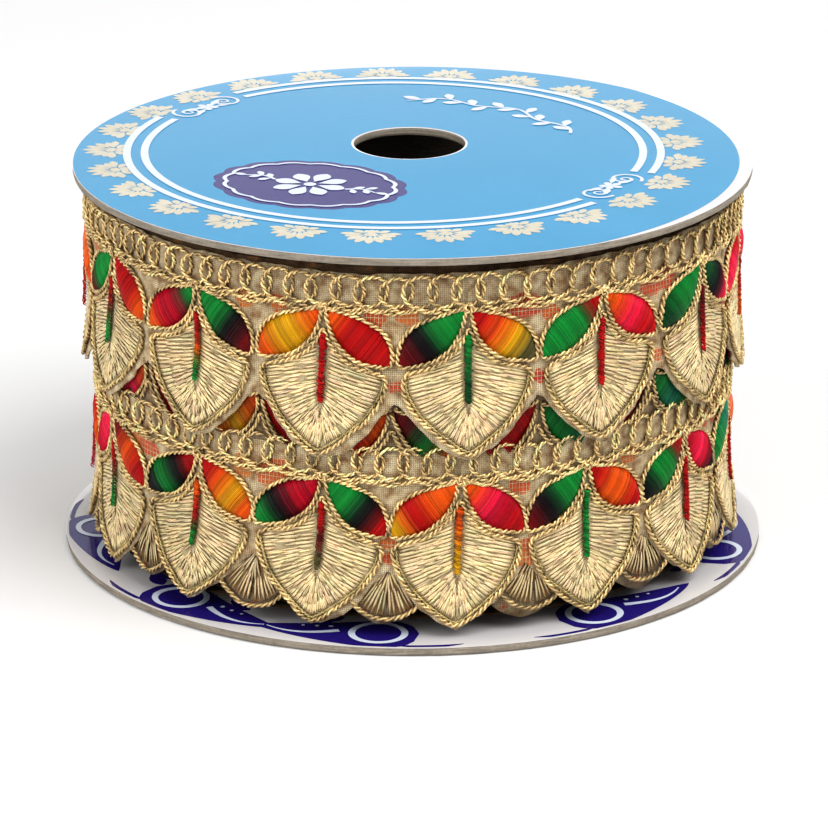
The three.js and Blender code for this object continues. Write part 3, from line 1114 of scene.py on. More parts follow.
def wavy(angle, chance, waves, size):
    """An uneven run of values round the roll."""
    total = np.zeros(len(angle))
    for wave in waves:
        total += np.sin(wave * angle + chance.uniform(0, 6.28)) * chance.uniform(0.5, 1)
    return total * size / math.sqrt(len(waves))


def round_the_roll(angle, radius, height):
    """A loop of points round the roll's axis, in metres."""
    return np.stack([radius * np.sin(angle), -radius * np.cos(angle), np.broadcast_to(height, angle.shape)], 1) * MM


# The turns beneath the outer one: their depth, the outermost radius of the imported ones, and the radius and spacing
# of the last few, whose edges stand loose under the upper disc
TURN_DEPTH = 1.5
PACKED_RADIUS = 59.0
LOOSE_TURNS = 4
LOOSE_RADIUS = 61.25
LOOSE_SPACING = 0.62
LOOSE_FOOT = 64.5
LOOSE_HEAD = 72.9
# Turns past this radius end higher over the lower disc, so that its shaded paper shows
RAISED_FROM = 52
RAISED_BY = 2.2


def make_inner_turns():
    """The turns beneath the outer one: a body with the turns' edges at its ends, and the last few as loose edges."""
    sides, chance = 180, np.random.default_rng(11)
    angle = np.linspace(0, 2 * math.pi, sides, endpoint=False)
    flat = np.zeros(sides)
    foot, head = LOWER_DISC_TOP + 0.5, UPPER_DISC_FOOT - 1.3
    turns = np.arange(CORE_RADIUS + 0.4, PACKED_RADIUS, TURN_DEPTH)
    profile = []
    for radius in turns:
        profile += [(radius, head - 0.7), (radius + 0.4, head), (radius + 0.9, head - 0.05)]
    profile += [(59.3, head - 0.4), (59.4, 56.0), (59.4, 38.0), (58.6, 20.0), (58.2, foot + 2.6)]
    for radius in turns[::-1]:
        low = foot + RAISED_BY * min(max((radius - RAISED_FROM) / 2, 0), 1)
        profile += [(radius + 0.9, low), (radius + 0.4, low), (radius, low + 0.7)]
    loops, places = [], []
    for radius, height in profile:
        near = 0.15 if height in (foot, head) else 0.05
        z = np.clip(height + wavy(angle, chance, (5, 9, 16, 31), near), foot, UPPER_DISC_FOOT - 0.4)
        loops.append(round_the_roll(angle, radius + wavy(angle, chance, (4, 7, 13), 0.1), z))
        places.append(np.stack([angle * radius, z + radius, flat], 1))
    skein = Skein()
    quads = tube_quads(len(profile), sides, True)
    # The body's cloth is darkened as painted shade by its marks' third part
    skein.add(np.concatenate(loops), quads, colours=(0.0, 0.5, 0.45), places=np.concatenate(places))
    for turn in range(LOOSE_TURNS):
        loops, places = [], []
        rise = wavy(angle, chance, (7, 15, 26, 45, 62), 0.42).clip(-0.7, 0.7)
        for inset, height in ((0, LOOSE_FOOT), (0, LOOSE_HEAD), (0.45, LOOSE_HEAD + 0.05), (0.45, LOOSE_FOOT)):
            radius = LOOSE_RADIUS - LOOSE_SPACING * turn - inset + wavy(angle, chance, (6, 11, 23), 0.08)
            z = height + (flat if height == LOOSE_FOOT else rise)
            loops.append(round_the_roll(angle, radius, z))
            places.append(np.stack([angle * 60, z, flat], 1))
        # A few orange floats on each loose turn, and painted shade that deepens for each turn further in
        marks = (0.12, 0.8, 0.2 + 0.14 * turn)
        quads = tube_quads(len(loops), sides, True)[:, ::-1]
        skein.add(np.concatenate(loops), quads, colours=marks, places=np.concatenate(places))
    # The inner turns' cloth is the ground cloth dimmed as painted shade
    cloth = cloth_material("inner_cloth", np.multiply(trim().cloth, INNER_TURNS_PAINTED_SHADE))
    skein.piece("inner_turns", cloth, "gold_trim", "wound_trim")


# Places with red or orange floats in the ground cloth: motif, along, drop, reach and how orange they are
FLOAT_PATCHES = {
    "upper": [
        (0, 10.5, 0.8, 3.6, 0.1), (0, -11, 1.5, 2.4, 0.7), (-1, 9.5, 1.6, 2.4, 0.3), (-1, -9, 0.6, 2.2, 0.6),
        (1, -10.5, 2.6, 2.0, 0.5), (1, 11.8, 2.0, 2.8, 0.2), (-2, 10.5, 1.0, 2.4, 0.8), (2, -10.5, 1.2, 3.0, 0.2),
        (0, 13.2, 14.5, 1.5, 0.0), (1, 12.8, 15.5, 1.6, 0.4), (-1, 13.2, 15.0, 1.5, 0.2), (2, 12.6, 13.0, 2.0, 0.3),
    ],
    "lower": [
        (-1, -9.5, 1.2, 4.2, 0.5), (0, 11.5, 2.2, 2.6, 0.3), (1, 10.5, 1.0, 2.6, 0.7), (0, -12.4, 15.0, 1.6, 0.2),
        (0, 12.8, 16.5, 2.2, 0.7), (1, -12.2, 14.0, 1.8, 0.4), (-2, 10.0, 0.8, 3.0, 0.9), (2, 9.5, 1.0, 3.0, 0.3),
        (-1, 12.6, 12.0, 1.8, 0.6), (2, 12.4, 14.0, 1.8, 0.4),
    ],
}

# How deep the cloth is shaded under the petals, where two rings cross, and below the upper disc's rim
PETAL_SHADE = 0.05
CROSSING_SHADE = 0.5
RIM_SHADE = 0.2


def cloth_marks(row, along, drop, chance):
    """How many floats show on the ground cloth, how orange they are and how deep it is shaded, at each place."""
    marks = np.zeros((len(along), 3))
    patches = [(motif * row.pitch + aside, *rest) for motif, aside, *rest in FLOAT_PATCHES[row.name]]
    for motif in list(range(3, 8)) + list(range(-7, -2)):
        for _ in range(3):
            patches.append((motif * row.pitch + chance.choice([-1, 1]) * chance.uniform(8, 13),
                            chance.uniform(0, 3) if chance.random() < 0.7 else chance.uniform(12, 16),
                            chance.uniform(1.8, 3.6), chance.uniform(0, 0.9)))
    for middle, low, reach, hue in patches:
        aside = (along - middle + MOTIFS * row.pitch / 2) % (MOTIFS * row.pitch) - MOTIFS * row.pitch / 2
        near = np.exp(-((aside / reach) ** 2 + ((drop - low) / (reach * 0.8)) ** 2) * 1.4)
        marks[:, 1] = np.where(near > marks[:, 0], hue, marks[:, 1])
        marks[:, 0] = np.maximum(marks[:, 0], np.clip(near * 2.4 - 0.4, 0, 1))
    own = (along / row.pitch - np.round(along / row.pitch)) * row.pitch
    edge = petal_edge(along, row)
    under_petal = np.clip((drop - 5 - 0.5 * np.abs(own)) / 2, 0, 1) * np.clip((edge - drop - 2.2) / 1.0, 0, 1)
    ring = np.abs(((own / row.pitch * RINGS_PER_MOTIF + 0.5) % 1) - 0.5)
    crossing = CROSSING_SHADE * np.clip((ring - 0.33) * 9, 0, 1) * (drop < -0.8)
    marks[:, 2] = np.maximum(PETAL_SHADE * under_petal, crossing)
    if row.name == "upper":
        marks[:, 2] = np.maximum(marks[:, 2], RIM_SHADE * (drop < -0.4))
    return marks


def make_ground_cloth(row):
    """The row's woven ground, cut to its petals, as one thin sheet."""
    columns, rows = MOTIFS * 44, 24
    thick = trim().cloth_thickness / MM
    chance = np.random.default_rng(21 + len(row.name) + int(row.junction))
    along = np.linspace(0, MOTIFS * row.pitch, columns, endpoint=False)
    around = 2 * math.pi * along / along[-1]
    share = np.linspace(0, 1, rows)
    top = CLOTH_TOP + wavy(around, chance, (19, 33, 57, 90), 0.22)
    bottom = petal_edge(along, row) + wavy(around, chance, (41, 73, 110), 0.2)
    bottom = bottom + 0.55 * np.clip(((along / row.pitch + 0.5) % 1 - 0.5) * 4, 0, 1)
    drop = top[:, None] + (bottom - top)[:, None] * share
    flat_along = np.repeat(along, rows)
    flat_drop = drop.ravel()
    puff = 0.1 * np.sin(flat_along * 1.3 + flat_drop) + 0.07 * np.sin(flat_drop * 2.1 - flat_along * 0.6)
    frill = np.clip(1 - (np.repeat(bottom, rows) - flat_drop) / 2.4, 0, 1)
    out = puff * 0.6 - 0.05 + frill * (0.22 * np.sin(flat_along * 1.9) + 0.12 * np.sin(flat_along * 4.7 + 1))
    out += 0.3 * np.clip((-5.4 - flat_drop) / 1.2, 0, 1)
    front = np.stack([flat_along, flat_drop, out], 1)
    back = front - [0, 0, thick]
    total = columns * rows
    start = np.arange(columns) * rows
    after = (start + rows) % total
    column, step = np.meshgrid(start, np.arange(rows - 1), indexing="ij")
    beside = (column + rows) % total
    face = np.stack([column + step, column + step + 1, beside + step + 1, beside + step], -1).reshape(-1, 4)
    upper_hem = np.stack([start, after, after + total, start + total], 1)
    lower_hem = upper_hem[:, [0, 3, 2, 1]] + rows - 1
    quads = np.concatenate([face, face[:, ::-1] + total, upper_hem, lower_hem])
    marks = cloth_marks(row, flat_along, flat_drop, chance)
    skein = Skein()
    points = np.concatenate([front, back])
    skein.add(wind(row, points), quads, colours=np.concatenate([marks, marks]), places=points * [1, 1, 0])
    cloth = skein.piece(f"{row.name}_ground_cloth", cloth_material("ground_cloth", trim().cloth), "gold_trim")


def tuck(row, drop):
    """How far the upper row's inner turn slips in behind the lower row's top edge."""
    return TUCK_DEPTH * np.clip((np.asarray(drop, float) - 19) / 7.5, 0, 1) * (row.name == "upper")


def round_trip(front, back, columns):
    """A sheet's values as loops, one for each column, that run down its front and up its back."""
    front, back = (side.reshape(columns, -1, 3) for side in (front, back))
    return np.concatenate([front, back[:, ::-1]], 1).reshape(-1, 3)


def make_inner_cloth(row):
    """The turn of cloth that shows in the gaps between the row's petals."""
    columns, rows, chance = MOTIFS * 28, 7, np.random.default_rng(31 + int(row.junction))
    along = np.linspace(0, MOTIFS * row.pitch, columns, endpoint=False)
    around = 2 * math.pi * along / along[-1]
    aside = ((along / row.pitch) % 1 - 0.5) * row.pitch
    if row.name == "lower":
        bottom = 27.9 - 0.085 * aside**2 + wavy(around, chance, (37, 61), 0.15)
    else:
        bottom = 28.2 + wavy(around, chance, (23, 37, 61), 0.2)
    share = np.linspace(0, 1, rows)
    drop = INNER_CLOTH_TOP + (bottom - INNER_CLOTH_TOP)[:, None] * share
    flat_along, flat_drop = np.repeat(along, rows), drop.ravel()
    out = -1.0 + 0.12 * np.sin(flat_along * 1.7) - tuck(row, flat_drop)
    front = np.stack([flat_along, flat_drop, out], 1)
    points = round_trip(front, front - [0, 0, INNER_CLOTH_THICKNESS], columns)
    # Painted shade, deeper behind the petals than in the middle of each gap
    shade = 0.5 + 0.25 * np.clip((np.abs(np.repeat(aside, rows)) - 4) / 6, 0, 1)
    marks = np.stack([0.12 + 0.2 * np.sin(flat_along * 0.9), np.full(len(front), 0.4), shade], 1)
    marks = round_trip(marks, marks, columns)
    quads = tube_quads(columns, rows * 2, True)[:, ::-1]
    skein = Skein()
    skein.add(wind(row, points), quads, colours=marks, places=points * [1, 1, 0])
    skein.piece(f"{row.name}_inner_cloth", cloth_material("ground_cloth", trim().cloth), "gold_trim")


def cord_colours(shade=1.0):
    """The crest and groove colours of a gold cord, its grooves painted darker as shade, and both scaled by shade as
    painted light or shade.
    """
    return np.array(trim().gold) * shade, np.array(trim().gold_groove_shade) * shade


# How bright each row's cords are painted against the trim's gold, as painted light where the row is lit more, and their
# widths against the outline cord's
RING_GOLD_PAINTED_LIGHT = {"upper": 1.1, "lower": 1.24}
SCALLOP_GOLD_PAINTED_LIGHT = {"upper": 1.02, "lower": 1.18}
RING_CORD = 0.88
SCALLOP_CORD = 0.9
INNER_CORD = 0.55


def make_ring_cords(row):
    """The chain of cord rings along the row's top, the scalloped cords beneath it and a knot over each motif."""
    chance = np.random.default_rng(41 + int(row.junction))
    width = trim().cord_width / MM
    rings, swags = Skein(), Skein()
    pitch = row.pitch / RINGS_PER_MOTIF
    angle = np.linspace(0, 2 * math.pi, 12, endpoint=False)
    for ring in range(MOTIFS * RINGS_PER_MOTIF):
        half = chance.normal(RING_HALF_SIZE, 0.08)
        flat = half * np.stack([np.sin(angle), np.cos(angle)], 1) + chance.normal(0, 0.05, (12, 2))
        flat[:, 0] += chance.normal(0, 0.07) * flat[:, 1] + chance.normal(0, 0.08) + ring * pitch
        flat[:, 1] += RING_MIDDLE_DROP + chance.normal(0, 0.08)
        line = spline(raised(flat, 0.66 - 0.42 * np.sin(angle)), 0.34, closed=True)
        lay_cord(rings, row, line, width * RING_CORD, cord_colours(RING_GOLD_PAINTED_LIGHT[row.name]), chance, closed=True)
    rings.piece(f"{row.name}_ring_cords", gold_cord_material(), "gold_trim")

    along = np.arange(0, MOTIFS * row.pitch, 0.34)
    wave = 2 * math.pi * along / row.pitch
    scallops = 0.65 - 0.4 * np.cos(3 * wave)
    overlay = 0.2 + 0.32 * np.sin(6 * wave + 0.7 * np.sin(wave))
    for drop, lift in ((scallops, 0.55), (overlay, 0.8)):
        line = wobbled(np.stack([along, drop, np.full(len(along), lift)], 1), 0.13, chance, 7)
        lay_cord(swags, row, line, width * SCALLOP_CORD, cord_colours(SCALLOP_GOLD_PAINTED_LIGHT[row.name]), chance, closed=True)
    for motif in range(MOTIFS):
        knot = spline(circle(0.62, 7) * [1, 1.25] + [motif * row.pitch, 0.1], 0.28, closed=True)
        line = raised(knot, 1.0 + 0.15 * np.sin(np.arange(len(knot))))
        lay_cord(swags, row, line, width * SCALLOP_CORD, cord_colours(1.05), chance, closed=True)
    swags.piece(f"{row.name}_scallop_cords", gold_cord_material(), "gold_trim")


def make_outline_cords(row):
    """The cords round each leaf, round each petal and just inside the petal's border."""
    chance = np.random.default_rng(51 + int(row.junction))
    width = trim().cord_width / MM
    leaves, petals = Skein(), Skein()
    petal = mirrored(PETAL_HALF)
    ochre = np.array(trim().ochre)
    for motif in range(MOTIFS):
        middle = [motif * row.pitch, 0]
        for side in (-1, 1):
            outline = spline(np.array(LEAF_OUTLINE) * [side, 1] + middle, 0.33)
            line = wobbled(raised(outline, 0.6), 0.1, chance)
            lay_cord(leaves, row, line, width, cord_colours(), chance)
        outline = spline(petal + middle, 0.33, closed=True)
        line = wobbled(raised(outline, 0.55), 0.1, chance)
        lay_cord(petals, row, line, width, cord_colours(0.97), chance, closed=True)
        inset = outline + across_of(outline, True) * 0.62
        inset = inset[inset[:, 1] > 13.4]
        line = wobbled(raised(inset, 0.5), 0.08, chance)
        # The thin cord's crest is painted brighter as highlight and its groove darker as shade
        lay_cord(petals, row, line, width * INNER_CORD, (ochre * 1.15, ochre * 0.6), chance, lay=1.5)
    leaves.piece(f"{row.name}_leaf_cords", gold_cord_material(), "gold_trim")
    petals.piece(f"{row.name}_petal_cords", gold_cord_material(), "gold_trim")


def leaf_edges():
    """A leaf's upper and lower edge, along and across its own axis."""
    start, end = np.array(LEAF_AXIS)
    axis = (end - start) / np.linalg.norm(end - start)
    across = np.array([-axis[1], axis[0]])
    outline = spline(LEAF_OUTLINE, 0.2) - start
    local = np.stack([outline @ axis, outline @ across], 1)
    tip = int(np.argmax(local[:, 0]))
    return start, axis, across, local[: tip + 1], local[tip:][::-1]


SATIN_SLANT = 0.1
SATIN_WIDTH = 0.36
SATIN_HEIGHT = 0.16


def satin_leaf(skein, row, middle, side, dyes, chance, lowest=99.0, lift=0.0, fullness=1.0, light=1.0):
    """Fills a leaf with satin threads that cross it from edge to edge, as far down as it shows. Light dims them as
    painted shade, and each thread is brightened or dimmed by painted sheen.
    """
    start, axis, across, upper, lower = leaf_edges()
    length = np.linalg.norm(np.subtract(*LEAF_AXIS))
    places = np.arange(-0.35, length + 0.3, trim().satin_pitch / MM)
    colours = dye_along(dyes, places / length + chance.normal(0, 0.022, len(places)))
    for place, colour in zip(places, colours):
        top = np.interp(place, *upper[np.argsort(upper[:, 0])].T)
        foot = np.interp(place, *lower[np.argsort(lower[:, 0])].T)
        if foot - top < 0.5:
            continue
        share = np.linspace(0, 1, 5)
        reach = top - 0.05 + (foot - top + 0.1) * share
        bow = fullness * (0.32 + min((foot - top) * 0.16, 0.95) * (1 - (2 * share - 1) ** 2))
        along = place + SATIN_SLANT * (reach - (top + foot) / 2) + chance.normal(0, 0.02)
        flat = start + along[:, None] * axis + reach[:, None] * across
        flat = flat * [side, 1] + middle
        if flat[:, 1].min() - middle[1] > lowest or lift and np.abs(flat[:, 0] - middle[0]).min() > 9:
            continue
        flat = flat[flat[:, 1] - middle[1] < lowest + 1]
        if len(flat) < 3:
            continue
        bow = bow[: len(flat)]
        # Painted sheen: threads brighter or darker in waves across the leaf
        painted_sheen = 1 + 0.14 * math.sin(place * 2.3 + middle[0]) + 0.1 * math.sin(place * 5.9 + middle[0] * 2)
        shade = linear(colour) * painted_sheen * light * chance.normal(1, 0.07)
        line = raised(flat, bow + lift + chance.normal(0, 0.025) - (tuck(row, flat[:, 1]) if lift else 0))
        lay_strand(skein, row, line, SATIN_WIDTH, SATIN_HEIGHT, shade.clip(0, 1))


def motif_number(motif):
    """A motif's number in the tables, which count both ways from the one in front."""
    return (motif + MOTIFS // 2) % MOTIFS - MOTIFS // 2


def spare_dyes(chance):
    """The dyes of a part on the hidden side, which come from the same dyed threads."""
    return SPARE_DYES[int(chance.integers(len(SPARE_DYES)))]


def dyes_of(row, motif, part, chance):
    """The dyes of one part of a motif."""
    if known := THREAD_DYES[row.name].get(motif_number(motif)):
        return known[part]
    return spare_dyes(chance)


def make_satin(row):
    """The satin leaves and stems of a row."""
    chance = np.random.default_rng(61 + int(row.junction))
    leaves, stems = Skein(), Skein()
    for motif in range(MOTIFS):
        middle = np.array([motif * row.pitch, 0])
        for part, side in ((0, -1), (1, 1)):
            satin_leaf(leaves, row, middle, side, dyes_of(row, motif, part, chance), chance)
        drops = np.arange(*STEM_DROPS, 0.3)
        dyes = dyes_of(row, motif, 2, chance)
        colours = dye_along(dyes, np.linspace(0, 1, len(drops)))
        bend = chance.normal(0, 0.25)
        for place, (drop, colour) in enumerate(zip(drops, colours)):
            half = STEM_HALF_WIDTH + chance.normal(0, 0.12) - 0.16 * place / len(drops)
            sway = bend * math.sin(place / len(drops) * math.pi) + chance.normal(0, 0.05)
            share = np.array([-1, -0.35, 0.35, 1])
            flat = np.stack([sway + share * half, drop + share * 0.3], 1) + middle
            line = raised(flat, 0.5 + np.array([0, 0.5, 0.5, 0]) + chance.normal(0, 0.06))
            # Each stem stitch is painted brighter or darker at random, as painted glints and shade on the satin
            lay_strand(stems, row, line, 0.4, 0.2, (linear(colour) * chance.choice([0.55, 0.9, 1.15])).clip(0, 1))
    leaves.piece(f"{row.name}_satin_leaves", satin_material(), "gold_trim")
    stems.piece(f"{row.name}_satin_stems", satin_material(), "gold_trim")


def fan_lines(edge, starts, begin, end, spacing):
    """Straight pieces of the fan of stitches that reach from its spine to its edge, evenly spaced halfway."""
    halfway = starts + (edge - starts) * (begin + end) / 2
    run = np.concatenate([[0], np.cumsum(np.linalg.norm(np.diff(halfway, axis=0), axis=1))])
    wanted = np.arange(spacing / 2, run[-1], spacing)
    first = np.stack([np.interp(wanted, run, starts[:, axis]) for axis in (0, 1)], 1)
    last = np.stack([np.interp(wanted, run, edge[:, axis]) for axis in (0, 1)], 1)
    return first, last


# A strand's width and its spread, its height, the chance that one is left out, and how brightly strands are painted to
# glint, with the chance of each painted glint
STRAND_WIDTH = (0.5, 0.05)
STRAND_HEIGHT = 0.15
LEFT_OUT = 0.05
PAINTED_GLINTS = (0.68, 0.86, 0.96, 1.08)
PAINTED_GLINT_CHANCES = (0.1, 0.3, 0.4, 0.2)


def lay_fan(skein, row, middle, side, edge, starts, zones, spacing, chance, shade=1.0, lift=0.0, under=0.5):
    """Lays the staggered metallic strands of one side of a petal, over a padding of their colour times under, whose
    darkening is partly the padding's own colour and partly painted shade between strands. A shade below one dims them
    all as painted shade, and each strand's brightness is a painted glint.
    """
    base = np.array(trim().zari)
    share = np.linspace(0, 1, 5)[:, None, None]
    padding = starts[::4] + (edge[::4] * [0.97, 1] - starts[::4]) * share
    flat = padding.reshape(-1, 2) * [side, 1] + middle
    strips = padding.shape[1]
    quads = tube_quads(5, strips, False)
    quads = quads[np.ptp(quads % strips, axis=1) <= 1][:, ::side]
    skein.add(wind(row, raised(flat, lift + 0.1)), quads, colours=base * shade * under)
    for begin, end in zones:
        first, last = fan_lines(edge, starts, begin, end, spacing)
        for place, (start, finish) in enumerate(zip(first, last)):
            if chance.random() < LEFT_OUT:
                continue
            head = begin + chance.uniform(-0.15, 0.09) * (begin > 0)
            tail = end + chance.uniform(-0.08, 0.16) * (end < 1)
            nudge = chance.normal(0, 0.05, (2, 2)) + [0, 0.09 * (-1) ** place]
            share = np.array([head, head * 0.67 + tail * 0.33, head * 0.33 + tail * 0.67, tail])[:, None]
            flat = start + (finish - start) * share + nudge[0] * (1 - share) + nudge[1] * share
            bow = np.array([0.08, 0.28, 0.28, 0.1]) + chance.normal(0, 0.05)
            line = raised(flat * [side, 1] + middle, bow + lift)
            # Each strand gets a painted glint, brighter or darker at random
            painted_glint = chance.choice(PAINTED_GLINTS, p=PAINTED_GLINT_CHANCES) * shade
            width = chance.normal(*STRAND_WIDTH)
            colour = base * painted_glint * chance.normal(1, 0.04, 3)
            lay_strand(skein, row, line, width, STRAND_HEIGHT, colour.clip(0, 1))


def petal_fan():
    """The right half of a petal's fan: the spine's points and the edge points that they reach for."""
    shoulder = next(place for place, point in enumerate(PETAL_HALF) if point[1] > SHOULDER_DROP)
    edge = spline(PETAL_HALF[shoulder:], 0.25)
    narrower = np.clip(edge - [0, 15], -1, 1) * [0.55, 0]
    shorter = np.column_stack([np.zeros(len(edge)), np.linspace(0, 0.7, len(edge))])
    edge = edge - narrower - shorter
    share = np.linspace(0, 1, len(edge))
    starts = np.stack([0.72 * (1 - share) ** 0.5, FAN_DROPS[0] + (FAN_DROPS[1] - FAN_DROPS[0]) * share**0.42], 1)
    edge[:, 0] = edge[:, 0].clip(0.02)
    return edge, starts


def make_stitches(row):
    """The pale metallic stitches that fill the row's petals."""
    chance = np.random.default_rng(71 + int(row.junction))
    edge, starts = petal_fan()
    skein = Skein()
    for motif in range(MOTIFS):
        middle = np.array([motif * row.pitch, 0])
        for side in (-1, 1):
            cut = chance.uniform(0.3, 0.38)
            zones = ((0, cut), (cut - 0.03, 2 * cut), (2 * cut - 0.04, 1))
            lay_fan(skein, row, middle, side, edge, starts, zones, trim().stitch_pitch / MM, chance)
    skein.piece(f"{row.name}_petal_stitches", zari_material(), "gold_trim")


def make_upper_gap_leaves():
    """The motifs of the turn beneath, whose leaves show in the gaps between the upper row's petals."""
    row, chance = ROWS["upper"], np.random.default_rng(81)
    satin, cords = Skein(), Skein()
    width = trim().cord_width / MM * 0.9
    for motif in range(MOTIFS):
        along = (motif + 0.5) * row.pitch + chance.normal(0, 0.9)
        middle = np.array([along, INNER_LEAF_DROP + chance.normal(0, 0.5)])
        dyes = GAP_DYES.get(motif_number(motif)) or [spare_dyes(chance) for _ in range(2)]
        for side, dye in zip((-1, 1), dyes):
            # The satin and cords of the turn beneath are dimmed as painted shade
            satin_leaf(satin, row, middle, side, dye, chance, INNER_LEAF_SHOWN, lift=-0.92, fullness=0.3, light=0.55)
            path = spline(np.array(LEAF_OUTLINE) * [side, 1] + middle, 0.32)
            path = path[(path[:, 1] < middle[1] + INNER_LEAF_SHOWN + 0.6) & (np.abs(path[:, 0] - middle[0]) < 9.5)]
            for part in np.split(path, np.nonzero(np.linalg.norm(np.diff(path, axis=0), axis=1) > 1)[0] + 1):
                if len(part) > 4:
                    line = raised(part, -0.42 - tuck(row, part[:, 1]))
                    lay_cord(cords, row, wobbled(line, 0.15, chance), width, cord_colours(0.75), chance)
        path = spline(mirrored(PETAL_HALF)[[-2, -1, 0, 1, 2]] + middle, 0.32)
        line = raised(path, -0.3 - tuck(row, path[:, 1]))
        # The petal cord of the turn beneath is dimmed as painted shade
        lay_cord(cords, row, wobbled(line, 0.15, chance), width, cord_colours(0.8), chance)
    satin.piece("gap_satin_leaves", satin_material(), "gold_trim")
    cords.piece("gap_leaf_cords", gold_cord_material(), "gold_trim")


def make_lower_gap_petals():
    """The petals of the turn beneath, which show in the gaps between the lower row's petals."""
    row, chance = ROWS["lower"], np.random.default_rng(91)
    stitches, cords = Skein(), Skein()
    half = np.array(INNER_PETAL_HALF)
    whole = np.concatenate([half[::-1], half[1:] * [-1, 1]])
    edge = spline(half[::-1], 0.25) * [0.93, 1] - [0, 0.7]
    edge[:, 0] = edge[:, 0].clip(0.02)
    share = np.linspace(0, 1, len(edge))
    starts = np.stack([0.3 * (1 - share), INNER_PETAL_TOP + 3.5 * share], 1)
    for motif in range(MOTIFS):
        shift = (1.9, -0.9) if motif == 0 else chance.normal(0, (0.7, 0.3))
        middle = np.array([(motif + 0.5) * row.pitch, 0]) + shift
        path = spline(whole + middle, 0.3)
        line = wobbled(raised(path, -0.15), 0.1, chance)
        # The turn beneath is dimmed as painted shade, in its cord here and its stitches below
        lay_cord(cords, row, line, trim().cord_width / MM, cord_colours(0.78), chance)
        for side in (-1, 1):
            zones = ((0, 0.5), (0.45, 1))
            # Stitches dimmed as painted shade, over a padding that is partly its own dark brown and partly painted
            # shade between strands
            lay_fan(stitches, row, middle, side, edge, starts, zones, GAP_SPACING, chance, 0.86, -0.75, GAP_PADDING)
    stitches.piece("gap_petal_stitches", zari_material(), "gold_trim")
    cords.piece("gap_petal_cords", gold_cord_material(), "gold_trim")


# ---------------------------------------------------------------- operators


# The floor's half width and its gap below the reel, and the middle of the reel that the lights aim at, in metres
FLOOR_REACH = 4.0
FLOOR_GAP = 0.0002
AIM_HEIGHT = 0.03
BACKDROP_WIDTH = 2.4


class LACE_OT_stage(bpy.types.Operator):
    """Sets up the camera, the pale floor and the soft lights"""

    bl_idname = "lace.stage"
    bl_label = "Camera, floor and lights"

    def execute(self, context):
        settings = context.scene.lace_stage
        lens = bpy.data.cameras.new("photo_camera")
        lens.lens, lens.sensor_width, lens.clip_end = settings.lens, 36, 20
        context.scene.view_settings.view_transform = "Standard"
        context.scene.view_settings.look = "Medium High Contrast"
        camera = bpy.data.objects.new("photo_camera", lens)
        camera.location = settings.camera_place
        camera.rotation_euler = (settings.camera_tilt, 0, 0)
        context.scene.collection.objects.link(camera)
        context.scene.camera = camera

        mesh = bpy.data.meshes.new("floor")
        corners = [(x * FLOOR_REACH, y * FLOOR_REACH, 0) for x, y in ((-1, -1), (1, -1), (1, 1), (-1, 1))]
        mesh.from_pydata(corners, [], [(0, 1, 2, 3)])
        floor = bpy.data.objects.new("floor", mesh)
        floor.location.z = -FLOOR_GAP
        context.scene.collection.objects.link(floor)
        pale, *_ = new_material(
            "pale_floor", Base_Color=opaque(settings.floor), Roughness=0.7, Emission_Color=(1, 1, 1, 1),
            Emission_Strength=settings.floor_glow,
        )
        mesh.materials.append(pale)

        world = bpy.data.worlds.new("soft_sky")
        context.scene.world = world
        world.use_nodes = True
        world.node_tree.nodes["Background"].inputs[0].default_value = (1, 1, 1, 1)
        world.node_tree.nodes["Background"].inputs[1].default_value = settings.sky
        # Each light's place, its size and its power
        lights = {
            "key_light": ((0.58, -0.5, 1.05), 0.95, settings.key_watts),
            "fill_light": ((-0.8, -0.7, 0.55), 1.1, settings.fill_watts),
            "back_light": ((0.7, 0.6, 0.9), 0.8, settings.fill_watts * 0.31),
            "backdrop_light": ((-0.3, 1.6, 0.262), 0.5, settings.backdrop_watts),
        }
        for name, (place, size, watts) in lights.items():
            light = bpy.data.lights.new(name, "AREA")
            light.energy, light.size = watts, size
            aim = Vector((0, 0, AIM_HEIGHT))
            if name == "backdrop_light":
                light.shape, light.size, light.size_y = "RECTANGLE", BACKDROP_WIDTH, size
                aim.z = place[2]
            lamp = bpy.data.objects.new(name, light)
            lamp.location = place
            lamp.rotation_euler = (aim - Vector(place)).to_track_quat("-Z", "Y").to_euler()
            context.scene.collection.objects.link(lamp)
        return {"FINISHED"}


class LACE_OT_boards(bpy.types.Operator):
    """Makes the two board discs and finishes the core tube"""

    bl_idname = "lace.boards"
    bl_label = "Board discs and core"

    def execute(self, context):
        make_board("lower", LOWER_DISC_RADIUS, 0, "lower_flange", "printed_board_lower")
        make_board("upper", UPPER_DISC_RADIUS, UPPER_DISC_FOOT, "upper_flange", "printed_board_upper")
        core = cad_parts["core_tube"]
        for place in range(len(core.material_slots)):
            core.material_slots[place].material = board_material()
        return {"FINISHED"}


class LACE_OT_prints(bpy.types.Operator):
    """Prints the ornament on both discs"""

    bl_idname = "lace.prints"
    bl_label = "Printed ornament"

    def execute(self, context):
        make_upper_print()
        make_lower_print()
        return {"FINISHED"}


class LACE_OT_inner_turns(bpy.types.Operator):
    """Winds the turns of trim beneath the outer one"""

    bl_idname = "lace.inner_turns"
    bl_label = "Inner turns"

    def execute(self, context):
        make_inner_turns()
        for row in ROWS.values():
            make_inner_cloth(row)
        make_upper_gap_leaves()
        make_lower_gap_petals()
        return {"FINISHED"}


class LACE_OT_ground_cloth(bpy.types.Operator):
    """Weaves the ground cloth of both rows"""

    bl_idname = "lace.ground_cloth"
    bl_label = "Ground cloth"

    def execute(self, context):
        for row in ROWS.values():
            make_ground_cloth(row)
        return {"FINISHED"}


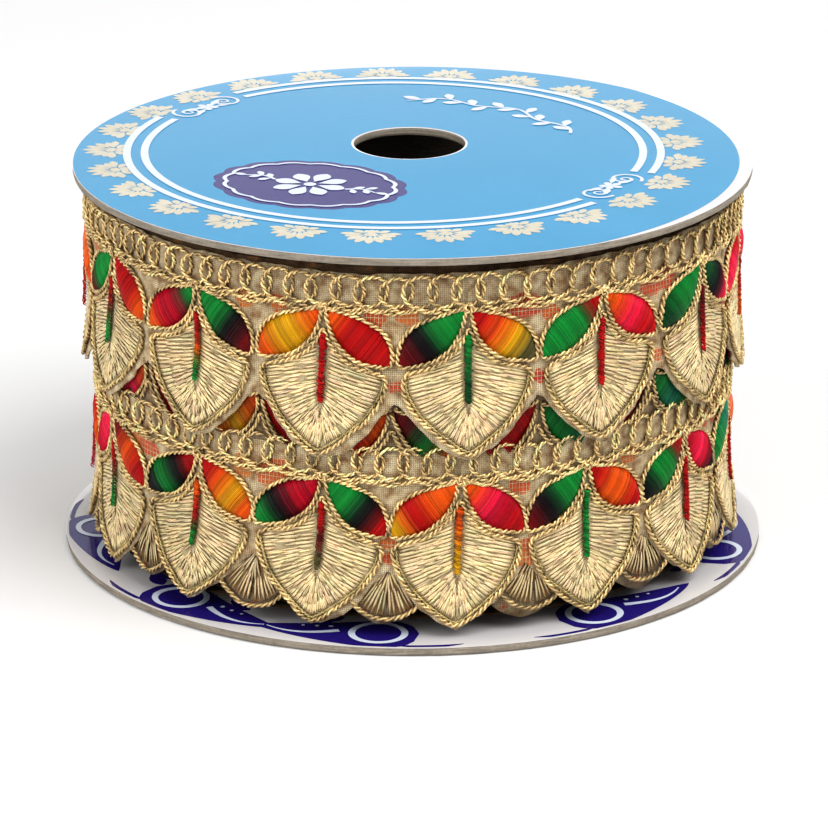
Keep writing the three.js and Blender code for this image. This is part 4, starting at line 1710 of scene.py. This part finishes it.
class LACE_OT_cords(bpy.types.Operator):
    """Lays the twisted gold cords of both rows"""

    bl_idname = "lace.cords"
    bl_label = "Twisted cords"

    def execute(self, context):
        for row in ROWS.values():
            make_ring_cords(row)
            make_outline_cords(row)
        return {"FINISHED"}


class LACE_OT_satin(bpy.types.Operator):
    """Stitches the variegated satin leaves and stems"""

    bl_idname = "lace.satin"
    bl_label = "Satin leaves and stems"

    def execute(self, context):
        for row in ROWS.values():
            make_satin(row)
        return {"FINISHED"}


class LACE_OT_stitches(bpy.types.Operator):
    """Fills the petals with pale metallic stitches"""

    bl_idname = "lace.stitches"
    bl_label = "Metallic stitches"

    def execute(self, context):
        for row in ROWS.values():
            make_stitches(row)
        return {"FINISHED"}


class LACE_PT_panel(bpy.types.Panel):
    """Lists the roll's settings and the steps that make it"""

    bl_idname = "LACE_PT_panel"
    bl_label = "Gota lace roll"
    bl_space_type = "VIEW_3D"
    bl_region_type = "UI"
    bl_category = "Gota lace"

    def draw(self, context):
        for group in SETTINGS:
            settings = getattr(context.scene, group)
            box = self.layout.box()
            for name in settings.__annotations__:
                box.prop(settings, name)
        for step in STEPS:
            self.layout.operator(step.bl_idname)


SETTINGS = {"lace_reel": ReelSettings, "lace_trim": TrimSettings, "lace_stage": StageSettings}
STEPS = (
    LACE_OT_stage,
    LACE_OT_boards,
    LACE_OT_prints,
    LACE_OT_inner_turns,
    LACE_OT_ground_cloth,
    LACE_OT_cords,
    LACE_OT_satin,
    LACE_OT_stitches,
)


def register():
    for kind in (*SETTINGS.values(), *STEPS, LACE_PT_panel):
        bpy.utils.register_class(kind)
    for name, kind in SETTINGS.items():
        setattr(bpy.types.Scene, name, bpy.props.PointerProperty(type=kind))


def unregister():
    for name in SETTINGS:
        delattr(bpy.types.Scene, name)
    for kind in reversed((*SETTINGS.values(), *STEPS, LACE_PT_panel)):
        bpy.utils.unregister_class(kind)


def main():
    register()
    for step in STEPS:
        group, name = step.bl_idname.split(".")
        getattr(getattr(bpy.ops, group), name)()


if __name__ == "__main__":
    main()
